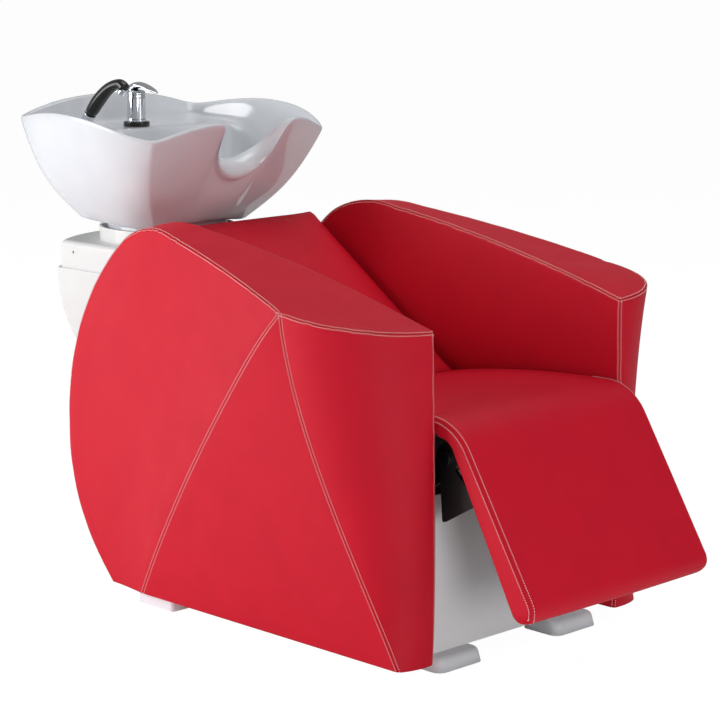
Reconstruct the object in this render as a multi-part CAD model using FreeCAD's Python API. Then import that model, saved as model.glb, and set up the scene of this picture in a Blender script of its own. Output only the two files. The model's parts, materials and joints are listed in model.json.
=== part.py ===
import FreeCAD
import Part
import math
import os

# Salon backwash unit: an armchair with a powered legrest, joined to a pedestal with a tilting basin.
# Millimetres. X runs across the chair, Y back from the arms' front edges, Z up from the floor.
# The finished pieces move along Y at the end, so that the origin is under the middle of the box.

V = FreeCAD.Vector

# Arms: faceted upholstered panels
seat_width = 500.0
arm_floor_gap = 25.0
arm_front_height = 627.0
arm_crown_back = 600.0
arm_crown_height = 751.0
arm_shoulder_back = 765.0
arm_shoulder_height = 722.0
arm_length = 963.0
arm_rear_height = 330.0
arm_heel_back = 822.0
arm_top_bow = 13.0
arm_crown_bow = 15.0
arm_rear_bow = 49.0
arm_heel_bow = 41.0
arm_top_fall = 0.09
apex_out = 190.0
apex_back = 193.0
apex_height = 657.0
apex_nose_bow = 66.0
crease_foot_out = 77.0
crease_foot_back = 11.0
crease_foot_bow = 6.0
side_panel_flare = -0.003
rear_panel_taper = 0.245
rear_panel_lean = 0.023
arm_rear_thickness = 40.0
arm_board_inset = 12.0
arm_board_thickness = 18.0
arm_board_front = 70.0
arm_board_length = 690.0
arm_board_height = 535.0
arm_bolt_bite = 13.5
arm_bolt_margin = 60.0

# Base frame, panels and feet
foot_height = 36.0
foot_width = 120.0
foot_length = 92.0
foot_front = 13.0
foot_inset = 30.0
foot_edge = 8.0
rear_foot_ahead = 95.0
rear_foot_length = 105.0
rear_foot_inset = 45.0
rear_foot_reach = 62.0
rail_size = 40.0
spine_half = 40.0
panel_setback = 45.0
panel_thickness = 6.0
panel_height = 286.0
panel_side_gap = 2.0
rear_panel_height = 560.0
screw_radius = 4.0
screw_head_radius = 8.0
screw_head_height = 6.0
screw_clearance = 0.25

# Seat and back
post_size = 30.0
post_inset = 80.0
seat_rail_height = 330.0
seat_post_back = 400.0
back_post_back = 600.0
seat_board_thickness = 15.0
seat_board_front = 80.0
seat_board_gap = 25.0
cushion_side_gap = 4.0
seat_rear_height = 441.0
seat_crown = 13.0
seat_side_drop = 5.0
seat_front_thickness = 40.0
seat_under_step = 37.0
seat_under_slope = 25.0
back_angle = 35.0
back_foot_back = 395.0
back_foot_height = 429.0
back_length = 497.0
back_thickness = 75.0
back_board_thickness = 15.0
back_board_margin = 30.0
back_crown = 10.0
back_side_crown = 2.0
back_edge_radius = 18.0
back_front_rise = 27.0
seat_back_gap = 3.0
section_shares = (-1.0, -0.6, 0.0, 0.6, 1.0)

# Legrest and its hinge
hinge_back = -2.0
hinge_height = 402.0
roll_radius = 75.0
roll_end_angle = 178.0
legrest_angle = 58.5
legrest_raise = 44.0
legrest_lower = 26.0
legrest_length = 328.0
legrest_thickness = 44.0
legrest_crown = 9.0
legrest_side_crown = 2.0
legrest_tip = 23.0
legrest_gap = 0.5
legrest_board_thickness = 12.0
legrest_board_gap = 28.0
legrest_board_start = 80.0
legrest_board_margin = 30.0
legrest_screw_bite = 9.6
legrest_screw_places = (40.5, 114.8)
shaft_radius = 12.0
shaft_overhang = 6.0
bush_wall = 4.0
bush_length = 10.0
running_gap = 0.05
bracket_thickness = 6.0
bracket_eye_radius = 26.0
bracket_foot_length = 60.0
bracket_low_angle = 225.0
bracket_high_angle = 45.0
eye_overlap = 1.0
carrier_inset = 36.0
carrier_thickness = 6.0
carrier_drop = 118.0
carrier_reach = 11.0
carrier_flange_width = 30.0
carrier_flange_thickness = 6.0
carrier_flange_length = 135.0
carrier_clearance = 5.0
carrier_swing_spare = 3.0
carrier_roll_gap = 2.0
carrier_nose_reach = 26.0
carrier_nose_turn = 6.0
carrier_root_angle = 320.0

# Legrest drive
lever_depth = 75.0
lever_thickness = 8.0
lever_ratio = 1.105
lever_wall = 9.0
lever_hub_radius = 22.0
lever_hub_length = 36.0
drive_pin_radius = 7.0
drive_pin_play = 2.2
drive_pin_end_play = 4.0
fork_cheek = 8.0
fork_gap = 1.2
fork_height = 26.0
fork_nose = 14.0
fork_throat = 34.0
fork_base = 12.0
rod_radius = 12.0
rod_length = 170.0
tube_front = 130.0
tube_length = 190.0
tube_radius = 22.0
tube_bore_spare = 20.0
gearbox_length = 42.0
gearbox_half = 32.0
gearbox_above = 25.0
motor_radius = 30.0
motor_length = 110.0
motor_drop = 60.0
lug_half = 11.0
lug_length = 30.0
mount_pin_radius = 5.0
mount_plate = 4.0
mount_ear = 6.0
mount_half = 26.0

# Column and tilt yoke
column_under_back = 32.1
column_frame_gap = 30.0
column_depth = 70.0
column_half = 50.0
column_wall = 4.0
column_height = 520.0
floor_plate_half = 130.0
floor_plate_thickness = 8.0
floor_plate_lip = 25.0
floor_plate_tail = 5.0
anchor_radius = 6.0
anchor_half_x = 105.0
anchor_margin = 22.0
anchor_spacing_y = 56.0
yoke_inner = 92.0
yoke_plate = 6.0
yoke_base = 8.0
yoke_length = 260.0
tilt_setback = 220.0
tilt_height = 672.0
yoke_eye = 18.0
yoke_top_half = 26.0
yoke_toe = 20.0
yoke_knee_rise = 10.0
tilt_pin_radius = 8.0
tilt_pin_head = 13.0
tilt_pin_head_height = 6.0
washer_radius = 20.0
washer_gap = 0.2
shell_bracket_size = 40.0
shell_bracket_thickness = 3.0
shell_bracket_lift = 10.0

# Pedestal shell, cover and collar
shell_setback = 96.0
shell_wall = 5.0
shell_top = 614.0
shell_half = 187.0
shell_side_length = 284.0
shell_rear_bow = 65.0
shell_foot_half = 116.0
shell_foot_length = 57.0
shell_foot_bow = 32.5
shell_shares = (0.0, 0.3, 0.55, 0.75, 0.9, 1.0)
shell_depth = 242.0
shell_flange = 14.0
shell_opening_half = 98.0
shell_opening_height = 140.0
cover_inset = 6.0
cover_height = 57.0
cover_wall = 4.0
cover_edge = 10.0
collar_setback = 149.0
collar_radius = 142.0
collar_wall = 5.0
collar_height = 29.0
cover_hole_radius = 130.0
cover_screw_height = 35.0
cover_screw_radius = 3.0
cover_screw_length = 8.0
cover_screw_head = 2.0
cover_screw_places = (64.0, 238.0)

# Basin
basin_base = 719.0
basin_wall = 13.0
basin_floor = 16.0
basin_mid = 815.0
basin_rim = 930.0
basin_base_half = 150.0
basin_mid_half = 205.0
basin_rim_half = 226.0
basin_base_ahead = 105.0
basin_mid_ahead = 164.0
basin_rim_ahead = 222.0
basin_base_behind = 123.0
basin_mid_behind = 176.0
basin_rim_behind = 213.0
notch_base_ahead = 110.0
notch_mid_ahead = 185.0
notch_rim_ahead = 214.0
lobe_base_bow = 4.0
lobe_mid_bow = 56.0
lobe_rim_bow = 46.0
valley_half = 45.0
valley_share = 0.35
side_base_bow = 5.0
side_mid_bow = 30.0
side_rim_bow = 46.0
rear_base_bow = 3.0
rear_mid_bow = 8.0
rear_rim_bow = 10.0
rear_base_flare = 2.0
rear_mid_flare = 9.0
rear_rim_flare = 16.0
rim_front_height = 903.0
rim_side_height = 948.0
rim_rear_height = 929.0
rim_middle_height = 940.0
rim_middle_rise = 20.0
rim_vault_margin = 7.0
neck_radius = 86.0
neck_height = 850.0
deck_drop = 51.0
deck_thickness = 12.0
deck_front_behind = 68.0
bowl_foot_behind = 25.0
pocket_half = 165.0
basin_rings = 6
cradle_half = 110.0
cradle_depth = 50.0
cradle_thickness = 8.0
cradle_pad = 6.0
cradle_lug = 8.0
cradle_lug_outer = 88.0
stud_radius = 4.0
stud_spacing = 80.0
stud_bite = 10.0
stud_nut_radius = 8.0
stud_nut_height = 6.5

# Drain
drain_ahead = 60.0
drain_radius = 22.0
drain_bore = 18.0
drain_flange_radius = 34.0
drain_flange_thickness = 3.0
drain_hole_gap = 1.5
drain_gasket_thickness = 4.0
drain_nut_height = 12.0
drain_tail_end = 655.0
trap_radius = 38.0
trap_height = 88.0
trap_wall = 3.0
trap_collar = 30.0
trap_grip = 25.0
trap_outlet_radius = 16.0
trap_outlet_length = 12.0
trap_outlet_drop = 35.0
strainer_gap = 0.4
strainer_rim = 24.0
strainer_depth = 8.0
strainer_wall = 2.0
strainer_hole = 2.5
strainer_holes = 8
strainer_knob_radius = 5.0
strainer_knob_height = 12.0

# Mixer tap
tap_behind = 122.0
tap_radius = 19.5
tap_ring_radius = 27.5
tap_ring_height = 11.0
tap_body_height = 57.0
tap_shank_radius = 16.0
tap_hole_gap = 1.0
tap_nut_radius = 26.0
tap_nut_height = 12.0
tail_radius = 5.0
tail_spacing = 16.0
tail_length = 95.0
cap_gap = 0.3
cap_height = 8.0
cap_ear_width = 5.0
cap_ear_half = 9.0
cap_ear_rise = 12.0
lever_pin_radius = 2.5
lever_pin_back = 12.0
lever_pin_bite = 3.0
lever_reach = 68.0
lever_rise = 14.0
lever_tip_drop = 4.0
lever_tip_half = 7.0
lever_grip = 6.0
lever_clear = 0.6

# Hand shower and holder
shower_side = 120.0
holder_behind = 148.0
shower_tilt = 40.0
holder_flange_radius = 20.0
holder_flange_height = 5.0
holder_radius = 13.0
holder_bore = 9.0
holder_rise = 14.0
holder_shank_radius = 12.0
holder_nut_radius = 19.0
holder_nut_height = 12.0
shower_stub_radius = 8.4
shower_stub_length = 14.0
shower_nut_height = 12.0
shower_nut_radius = 13.5
shower_grip_radius = 12.5
shower_head_radius = 15.0
shower_waist_radius = 11.0
shower_crown_radius = 12.0
shower_waist_share = 0.3
shower_swell_share = 0.6
shower_head_share = 0.85
shower_straight = 60.0
shower_bend_radius = 62.0
shower_bend = 75.0
shower_head_length = 20.0
nozzle_radius = 9.0
nozzle_length = 14.0
nozzle_socket = 5.0

# Sizes that follow from those above
half = seat_width / 2
foot_inner = half - foot_width - foot_inset
rear_foot_inner = half - rear_foot_inset
rear_foot_outer = half + rear_foot_reach
post_out = half - post_inset
seat_board_half = half - seat_board_gap
legrest_board_half = half - legrest_board_gap
carrier_inner = half - carrier_inset
rail_top = foot_height + rail_size
frame_front = panel_setback + panel_thickness
seat_rail_top = seat_rail_height + post_size
seat_board_top = seat_rail_top + seat_board_thickness
seat_front_height = hinge_height + roll_radius
bracket_inner = post_out + post_size
carrier_outer = carrier_inner + carrier_thickness
yoke_outer = yoke_inner + yoke_plate
yoke_floor = column_height + yoke_base
back_end = back_foot_back + back_length * math.cos(math.radians(back_angle))
column_back = back_end - column_under_back
column_rear = column_back + column_depth
frame_rear = column_back - column_frame_gap
rear_foot_back = frame_rear - rear_foot_ahead
yoke_end = column_back + yoke_length
tilt_back = column_back + tilt_setback
shell_front = column_back + shell_setback
shell_side_back = shell_front + shell_side_length
shell_foot_back = shell_front + shell_foot_length
collar_back = shell_front + collar_setback
basin_rim_front = tilt_back - basin_rim_ahead
basin_rim_rear = tilt_back + basin_rim_behind
deck_height = rim_side_height - deck_drop
deck_front = tilt_back + deck_front_behind
bowl_rear_foot = tilt_back + bowl_foot_behind
drain_back = tilt_back - drain_ahead
tap_back = tilt_back + tap_behind
holder_back = tilt_back + holder_behind
cover_top = shell_top + cover_height
bowl_floor = basin_base + basin_floor
cradle_top = basin_base - cradle_pad
cradle_bottom = cradle_top - cradle_thickness
drive_mid = (legrest_raise - legrest_lower) / 2
drive_ratio = lever_ratio * lever_depth
drive_height = hinge_height - lever_depth
drive_rest = hinge_back + drive_ratio * math.radians(drive_mid)
drive_reach = (legrest_raise + legrest_lower) / 2
gearbox_front = tube_front + tube_length
gearbox_rear = gearbox_front + gearbox_length


def box(x0, x1, y0, y1, z0, z1):
    return Part.makeBox(x1 - x0, y1 - y0, z1 - z0, V(x0, y0, z0))


def bar(start, end, radius):
    return Part.makeCylinder(radius, (end - start).Length, start, end - start)


def tube(start, end, radius, bore):
    return bar(start, end, radius).cut(bar(start, end, bore))


def upright(x, y, low, high, radius):
    return Part.makeCylinder(radius, high - low, V(x, y, low))


def across(y, z, x0, x1, radius):
    return Part.makeCylinder(radius, x1 - x0, V(x0, y, z), V(1, 0, 0))


def mirrored(shape):
    return shape.mirror(V(0, 0, 0), V(1, 0, 0))


def pair(shape):
    return Part.makeCompound([mirrored(shape), shape])


def joined(shapes):
    return shapes[0].multiFuse(shapes[1:]).removeSplitter()


def loop(steps, place):
    """Closed wire through (u, v, bow) steps; a bow is the rise of the arc that leads to the step."""
    edges = []
    for index, (u, v, bow) in enumerate(steps):
        u0, v0, _ = steps[index - 1]
        if bow:
            length = math.hypot(u - u0, v - v0)
            middle = place((u0 + u) / 2 - bow * (v - v0) / length, (v0 + v) / 2 + bow * (u - u0) / length)
            edges.append(Part.Arc(place(u0, v0), middle, place(u, v)).toShape())
        else:
            edges.append(Part.LineSegment(place(u0, v0), place(u, v)).toShape())
    return Part.Wire(edges)


def side_plate(steps, x0, x1):
    face = Part.Face(loop(steps, lambda y, z: V(x0, y, z)))
    return face.extrude(V(x1 - x0, 0, 0))


def level_plate(steps, z0, z1):
    face = Part.Face(loop(steps, lambda x, y: V(x, y, z0)))
    return face.extrude(V(0, 0, z1 - z0))


def rounded(shape, radius, wanted):
    return shape.makeFillet(radius, [edge for edge in shape.Edges if wanted(edge.BoundBox)])


def blend(share, low, high):
    return low + (high - low) * share


# Arms

def arm_plan(z):
    """Front nose and side panel of an arm at one height, out from its inner face and back."""
    share = (z - arm_floor_gap) / (apex_height - arm_floor_gap)
    out = blend(share, crease_foot_out, apex_out)
    back = blend(share, crease_foot_back, apex_back)
    nose = blend(share, crease_foot_bow, apex_nose_bow)
    far = arm_length + apex_out
    steps = [(half, far, 0), (half, 0, 0), (half + out, back, -nose)]
    steps.append((half + out + side_panel_flare * (far - back), far, 0))
    return loop(steps, lambda x, y: V(x, y, z))


def arm_rear_panel():
    """Everything inside the flat rear panel, which runs in towards the back of the arm."""
    top = arm_crown_height + apex_out
    far = arm_length + apex_out
    floor_out = apex_out + rear_panel_lean * apex_height
    near_x = half + floor_out + rear_panel_taper * (apex_back + apex_out)
    far_x = half + floor_out - rear_panel_taper * (far - apex_back)
    inside = half - apex_out
    steps = [(inside, -apex_out, 0), (near_x, -apex_out, 0), (far_x, far, 0), (inside, far, 0)]
    face = Part.Face(loop(steps, lambda x, y: V(x, y, 0)))
    panel = face.extrude(V(-rear_panel_lean * top, 0, top))
    return panel.fuse(box(half, half + arm_rear_thickness, -apex_out, far, 0, top))


def arm_blank():
    profile = [
        (0, arm_floor_gap, 0),
        (0, arm_front_height, 0),
        (arm_crown_back, arm_crown_height, arm_top_bow),
        (arm_shoulder_back, arm_shoulder_height, arm_crown_bow),
        (arm_length, arm_rear_height, arm_rear_bow),
        (arm_heel_back, arm_floor_gap, arm_heel_bow),
    ]
    reach = apex_out * 2
    face = Part.Face(loop(profile, lambda y, z: V(half, y, z)))
    core = face.extrude(V(reach, 0, -arm_top_fall * reach))
    top = arm_crown_height + arm_crown_bow
    core = core.common(box(half, half + reach, -reach, arm_length + reach, arm_floor_gap, top))
    front = Part.makeLoft([arm_plan(0.0), arm_plan(top)], True, True)
    return core.common(front).common(arm_rear_panel())


def arm_board():
    inner = half + arm_board_inset
    rear = arm_board_front + arm_board_length
    top = arm_floor_gap + arm_board_height
    return box(inner, inner + arm_board_thickness, arm_board_front, rear, arm_floor_gap, top)


def arm_bolts(grow):
    """Bolts from the base rails through the arm's lining into its board."""
    height = foot_height + rail_size / 2
    inner = half - rail_size
    tip = half + arm_board_inset + arm_bolt_bite
    bolts = []
    for back in (arm_board_front + rail_size, frame_rear - arm_bolt_margin):
        bolts.append(across(back, height, inner - screw_head_height, tip, screw_radius + grow))
        bolts.append(across(back, height, inner - screw_head_height, inner, screw_head_radius + grow))
    return joined(bolts)


# Base frame, panels and feet

def base_frame():
    """Welded rails on the feet, with two raked posts that carry the back."""
    low, high = foot_height, rail_top
    pieces = [box(-spine_half, spine_half, frame_rear - rail_size, column_back, low, high)]
    for sign in (-1, 1):
        inner, outer = sorted((sign * (half - rail_size), sign * half))
        pieces.append(box(inner, outer, frame_front, frame_rear, low, high))
    post_margin = (rail_size - post_size) / 2
    rails = (frame_front, seat_post_back - post_margin, back_post_back - post_margin, frame_rear - rail_size)
    for back in rails:
        pieces.append(box(-half, half, back, back + rail_size, low, high))
    for sign in (-1, 1):
        inner, outer = sorted((sign * post_out, sign * bracket_inner))
        post = box(inner, outer, back_post_back, back_post_back + post_size, high, arm_front_height)
        pieces.append(post.common(behind_back()))
    return joined(pieces)


def front_foot():
    foot = box(foot_inner, foot_inner + foot_width, foot_front, foot_front + foot_length, 0, foot_height)
    return rounded(foot, foot_edge, lambda b: b.ZMax > foot_edge)


def rear_foot():
    rear = rear_foot_back + rear_foot_length
    under_arm = box(rear_foot_inner, rear_foot_outer, rear_foot_back, rear, 0, arm_floor_gap)
    under_rail = box(rear_foot_inner, half, rear_foot_back, rear, 0, foot_height)
    foot = joined([under_arm, under_rail])
    return rounded(foot, foot_edge, lambda b: b.ZLength > foot_edge and b.XMin > half)


def foot_screw(x, y, grow):
    head = screw_head_height + foot_edge / 2
    shank = upright(x, y, 0, foot_height + rail_size / 2, screw_radius + grow)
    sink = upright(x, y, 0, head, screw_head_radius + grow)
    return shank.fuse(sink).cut(box(x - half, x + half, y - half, y + half, 0, foot_edge / 2))


def foot_screw_places():
    """Middle of the front and the rear foot's screw, under a rail each."""
    front = (foot_inner + foot_width / 2, frame_front + rail_size / 2)
    rear = (half - rail_size / 2, rear_foot_back + rear_foot_length / 2)
    return front, rear


def foot_screws(grow):
    return Part.makeCompound([foot_screw(x, y, grow) for x, y in foot_screw_places()])


def foot_screw_holes():
    """The screws' own holes, open at the sole below the heads."""
    holes = [foot_screws(screw_clearance)]
    for x, y in foot_screw_places():
        holes.append(upright(x, y, 0, foot_edge, screw_head_radius + screw_clearance))
    return Part.makeCompound(holes)


def front_panel():
    """Kick panel with slots for the legrest's carrier plates and its drive lever."""
    side = half - panel_side_gap
    top = foot_height + panel_height
    panel = box(-side, side, panel_setback, frame_front, foot_height, top)
    swing = math.hypot(carrier_drop, carrier_reach) + carrier_clearance
    slot_low = hinge_height - swing
    slot = box(carrier_inner - carrier_clearance, carrier_outer + carrier_clearance, 0, half, slot_low, top)
    lever_half = lever_hub_length / 2 + carrier_clearance
    notch = box(-lever_half, lever_half, 0, half, hinge_height - lever_tip_radius() - carrier_clearance, top)
    return panel.cut(slot).cut(mirrored(slot)).cut(notch)


def rear_access_panel():
    """Panel behind the column, cut out round the yoke."""
    side = half - panel_side_gap
    top = foot_height + rear_panel_height
    rear = column_rear + panel_thickness
    panel = box(-side, side, column_rear, rear, foot_height, top)
    return panel.cut(box(-yoke_outer, yoke_outer, column_rear, rear, column_height, top))


# Seat and back

def back_place(along, out):
    """Point of the reclined back: along it from its foot, and out from its front face."""
    angle = math.radians(back_angle)
    y = back_foot_back + along * math.cos(angle) - out * math.sin(angle)
    z = back_foot_height + along * math.sin(angle) + out * math.cos(angle)
    return y, z


def back_section(x, crown):
    """Side profile of the back, whose padded front runs further up than its rear."""
    edge = back_edge_radius
    corner = edge * (1 - math.sqrt(0.5))
    front_length = back_length + back_front_rise
    steps = [
        (0, -back_thickness, 0),
        (0, 0, 0),
        (front_length - edge, 0, crown),
        (front_length, -edge, corner),
        (back_length, -back_thickness, 0),
    ]
    return loop(steps, lambda along, out: V(x, *back_place(along, out)))


def back_cushion():
    side = half - cushion_side_gap
    sections = []
    for share in section_shares:
        crown = blend(1 - share * share, back_side_crown, back_crown)
        sections.append(back_section(share * side, crown))
    return Part.makeLoft(sections, True, False)


def back_board():
    low = -back_thickness - back_board_thickness
    high = -back_thickness
    start, end = back_board_margin, back_length - back_board_margin
    side = half - back_board_margin
    steps = [(start, low, 0), (start, high, 0), (end, high, 0), (end, low, 0)]
    face = Part.Face(loop(steps, lambda along, out: V(-side, *back_place(along, out))))
    return face.extrude(V(2 * side, 0, 0))


def behind_back():
    """Everything behind the back board's rear face."""
    low = -back_thickness - back_board_thickness
    deep = low - back_length
    near, far = -back_length, 2 * back_length
    steps = [(near, deep, 0), (near, low, 0), (far, low, 0), (far, deep, 0)]
    face = Part.Face(loop(steps, lambda along, out: V(-half, *back_place(along, out))))
    return face.extrude(V(seat_width, 0, 0))


def seat_frame():
    """Welded posts and rails under the seat."""
    post_front = frame_front + (rail_size - post_size) / 2
    rear = seat_post_back + post_size
    pieces = [box(-bracket_inner, bracket_inner, seat_post_back, rear, seat_rail_height, seat_rail_top)]
    for sign in (-1, 1):
        low, high = sorted((sign * post_out, sign * bracket_inner))
        pieces.append(box(low, high, post_front, rear, seat_rail_height, seat_rail_top))
        for back in (post_front, seat_post_back):
            pieces.append(box(low, high, back, back + post_size, rail_top, seat_rail_height))
    return joined(pieces)


def seat_section(x, crown):
    """Seat cushion's side view: crowned top, front roll about the hinge, stepped underside, raked rear."""
    tan_back = math.tan(math.radians(back_angle))
    plane_y, plane_z = back_place(0, seat_back_gap)
    rear_top = plane_y + (seat_rear_height - plane_z) / tan_back
    rear_low = plane_y + (seat_board_top - plane_z) / tan_back
    end = math.radians(roll_end_angle)
    inner = roll_radius - seat_front_thickness
    turn = math.radians(roll_end_angle - 90)
    outer_bow = roll_radius * (1 - math.cos(turn / 2))
    inner_bow = inner * (1 - math.cos(turn / 2))
    step = hinge_back + seat_under_step
    steps = [
        (hinge_back + roll_radius * math.cos(end), hinge_height + roll_radius * math.sin(end), -outer_bow),
        (hinge_back + inner * math.cos(end), hinge_height + inner * math.sin(end), 0),
        (hinge_back, hinge_height + inner, inner_bow),
        (step, hinge_height + inner, 0),
        (step + seat_under_slope, seat_board_top, 0),
        (rear_low, seat_board_top, 0),
        (rear_top, seat_rear_height, 0),
        (hinge_back, seat_front_height, -crown),
    ]
    return loop(steps, lambda y, z: V(x, y, z))


def seat_cushion():
    side = half - cushion_side_gap
    sections = []
    for share in section_shares:
        crown = blend(1 - share * share, seat_crown - seat_side_drop, seat_crown)
        sections.append(seat_section(share * side, crown))
    return Part.makeLoft(sections, True, False)


def seat_board():
    tan_back = math.tan(math.radians(back_angle))
    plane_y, plane_z = back_place(0, seat_back_gap)
    rear = plane_y + (seat_board_top - plane_z) / tan_back
    return box(-seat_board_half, seat_board_half, seat_board_front, rear, seat_rail_top, seat_board_top)


# Legrest

def legrest_place(along, deep):
    """Point of the legrest at rest: down it from the roll's tangent, and in from its front face."""
    angle = math.radians(legrest_angle)
    y = hinge_back - (roll_radius - deep) * math.sin(angle) - along * math.cos(angle)
    z = hinge_height + (roll_radius - deep) * math.cos(angle) - along * math.sin(angle)
    return y, z


def legrest_plate(steps, x0, x1):
    face = Part.Face(loop(steps, lambda along, deep: V(x0, *legrest_place(along, deep))))
    return face.extrude(V(x1 - x0, 0, 0))


def roll_depth(along):
    """Depth at which the legrest's hollow end follows the seat's front roll."""
    return roll_radius - math.sqrt((roll_radius + legrest_gap) ** 2 - along ** 2)


def legrest_section(x, crown):
    toe = legrest_thickness / 2
    corner = toe * (1 - math.sqrt(0.5))
    reach = roll_radius + legrest_gap
    heel = math.sqrt(reach ** 2 - (roll_radius - legrest_thickness) ** 2)
    tip_deep = roll_depth(legrest_tip)
    chord = math.hypot(heel - legrest_tip, legrest_thickness - tip_deep)
    hollow = reach - math.sqrt(reach ** 2 - chord ** 2 / 4)
    steps = [
        (legrest_tip, 0, 0),
        (legrest_length - toe, 0, -crown),
        (legrest_length, toe, -corner),
        (legrest_length - toe, legrest_thickness, -corner),
        (heel, legrest_thickness, 0),
        (legrest_tip, tip_deep, hollow),
    ]
    return loop(steps, lambda along, deep: V(x, *legrest_place(along, deep)))


def legrest_board():
    deep = legrest_thickness - legrest_board_thickness
    end = legrest_length - legrest_board_margin
    steps = [
        (legrest_board_start, deep, 0),
        (end, deep, 0),
        (end, legrest_thickness, 0),
        (legrest_board_start, legrest_thickness, 0),
    ]
    return legrest_plate(steps, -legrest_board_half, legrest_board_half)


def legrest_pad():
    side = half - cushion_side_gap
    sections = []
    for share in section_shares:
        crown = blend(1 - share * share, legrest_side_crown, legrest_crown)
        sections.append(legrest_section(share * side, crown))
    return Part.makeLoft(sections, True, False).cut(legrest_board())


def around_hinge(radius, degrees):
    angle = math.radians(degrees)
    return hinge_back + radius * math.cos(angle), hinge_height + radius * math.sin(angle)


def carrier():
    """Plate that hangs the legrest on its shaft, with a flange under the board."""
    safe = roll_end_angle + legrest_raise + carrier_swing_spare
    clear = roll_radius + carrier_roll_gap
    inner_eye = bracket_eye_radius - eye_overlap
    steps = [
        (*around_hinge(inner_eye, safe), 0),
        (*around_hinge(clear, safe), 0),
        (*legrest_place(legrest_board_start + carrier_flange_thickness, legrest_thickness), 0),
        (*legrest_place(legrest_board_start + carrier_flange_length, legrest_thickness), 0),
        (*legrest_place(legrest_board_start + carrier_flange_length,
                        legrest_thickness + carrier_flange_thickness), 0),
        (*around_hinge(roll_radius + carrier_nose_reach, safe + carrier_nose_turn), 0),
        (hinge_back + carrier_reach - carrier_thickness, hinge_height - carrier_drop, 0),
        (hinge_back + carrier_reach, hinge_height - carrier_drop, 0),
        (*around_hinge(inner_eye, carrier_root_angle), 0),
    ]
    web = side_plate(steps, carrier_inner, carrier_outer)
    eye = across(hinge_back, hinge_height, carrier_inner, carrier_outer, bracket_eye_radius)
    deep = legrest_thickness + carrier_flange_thickness
    start = legrest_board_start + carrier_flange_thickness
    end = legrest_board_start + carrier_flange_length
    strip = [(start, legrest_thickness, 0), (end, legrest_thickness, 0), (end, deep, 0), (start, deep, 0)]
    flange = legrest_plate(strip, carrier_outer - carrier_flange_width, carrier_outer)
    hole = across(hinge_back, hinge_height, carrier_inner, carrier_outer, shaft_radius)
    return joined([web, eye, flange]).cut(hole)


def legrest_screws(grow):
    """Two screws a side, through the carrier's flange into the board."""
    x = carrier_outer - carrier_flange_width / 2 - carrier_thickness / 2
    deep = legrest_thickness + carrier_flange_thickness
    tip = legrest_thickness - legrest_screw_bite
    screws = []
    for place in legrest_screw_places:
        along = legrest_board_start + place
        head_end = V(x, *legrest_place(along, deep + screw_radius))
        head_start = V(x, *legrest_place(along, deep))
        shank = bar(head_start, V(x, *legrest_place(along, tip)), screw_radius / 2 + grow)
        head = bar(head_end, head_start, screw_radius + grow)
        screws.append(joined([shank, head]))
    return Part.makeCompound(screws)


def hinge_shaft():
    end = carrier_outer + shaft_overhang
    return across(hinge_back, hinge_height, -end, end, shaft_radius)


def hinge_bracket():
    post_front = frame_front + (rail_size - post_size) / 2
    foot_end = post_front + bracket_foot_length
    outer = bracket_inner + bracket_thickness
    steps = [
        (*around_hinge(bracket_eye_radius - eye_overlap, bracket_low_angle), 0),
        (*around_hinge(bracket_eye_radius - eye_overlap, bracket_high_angle), 0),
        (seat_board_front - bracket_eye_radius / 2, seat_rail_top, 0),
        (foot_end, seat_rail_top, 0),
        (foot_end, seat_rail_height, 0),
        (post_front, seat_rail_height, 0),
    ]
    eye = across(hinge_back, hinge_height, bracket_inner, outer, bracket_eye_radius)
    hole = across(hinge_back, hinge_height, bracket_inner, outer, shaft_radius + bush_wall)
    return joined([side_plate(steps, bracket_inner, outer), eye]).cut(hole)


def hinge_bush():
    middle = bracket_inner + bracket_thickness / 2
    low, high = middle - bush_length / 2, middle + bush_length / 2
    sleeve = across(hinge_back, hinge_height, low, high, shaft_radius + bush_wall)
    return sleeve.cut(across(hinge_back, hinge_height, low, high, shaft_radius + running_gap))


# Legrest drive: a straight actuator whose pin runs in the slot of a lever on the hinge shaft

def lever_slot_end():
    return lever_depth / math.cos(math.radians(drive_reach)) + drive_pin_radius + drive_pin_end_play


def lever_tip_radius():
    return lever_slot_end() + lever_wall


def drive_lever():
    slot_half = drive_pin_radius + drive_pin_play
    slot_start = lever_depth - drive_pin_radius - drive_pin_end_play
    x0, x1 = -lever_thickness / 2, lever_thickness / 2
    wide = slot_half + lever_wall
    blade = box(x0, x1, hinge_back - wide, hinge_back + wide, hinge_height - lever_tip_radius(), hinge_height)
    slot = box(x0, x1, hinge_back - slot_half, hinge_back + slot_half,
               hinge_height - lever_slot_end(), hinge_height - slot_start)
    hub = across(hinge_back, hinge_height, -lever_hub_length / 2, lever_hub_length / 2, lever_hub_radius)
    bore = across(hinge_back, hinge_height, -lever_hub_length / 2, lever_hub_length / 2, shaft_radius)
    lever = joined([blade.cut(slot), hub]).cut(bore)
    return lever.rotate(V(0, hinge_back, hinge_height), V(1, 0, 0), drive_mid)


def actuator_rod():
    outer = lever_thickness / 2 + fork_gap + fork_cheek
    low, high = drive_height - fork_height / 2, drive_height + fork_height / 2
    base = drive_rest + fork_throat
    end = base + fork_base
    fork = box(-outer, outer, drive_rest - fork_nose, end, low, high)
    throat = lever_thickness / 2 + fork_gap
    fork = fork.cut(box(-throat, throat, drive_rest - fork_nose, base, low, high))
    rod = bar(V(0, end, drive_height), V(0, end + rod_length, drive_height), rod_radius)
    return joined([fork, rod]).cut(drive_pin())


def drive_pin():
    end = lever_thickness / 2 + fork_gap + fork_cheek
    return across(drive_rest, drive_height, -end, end, drive_pin_radius)


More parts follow.
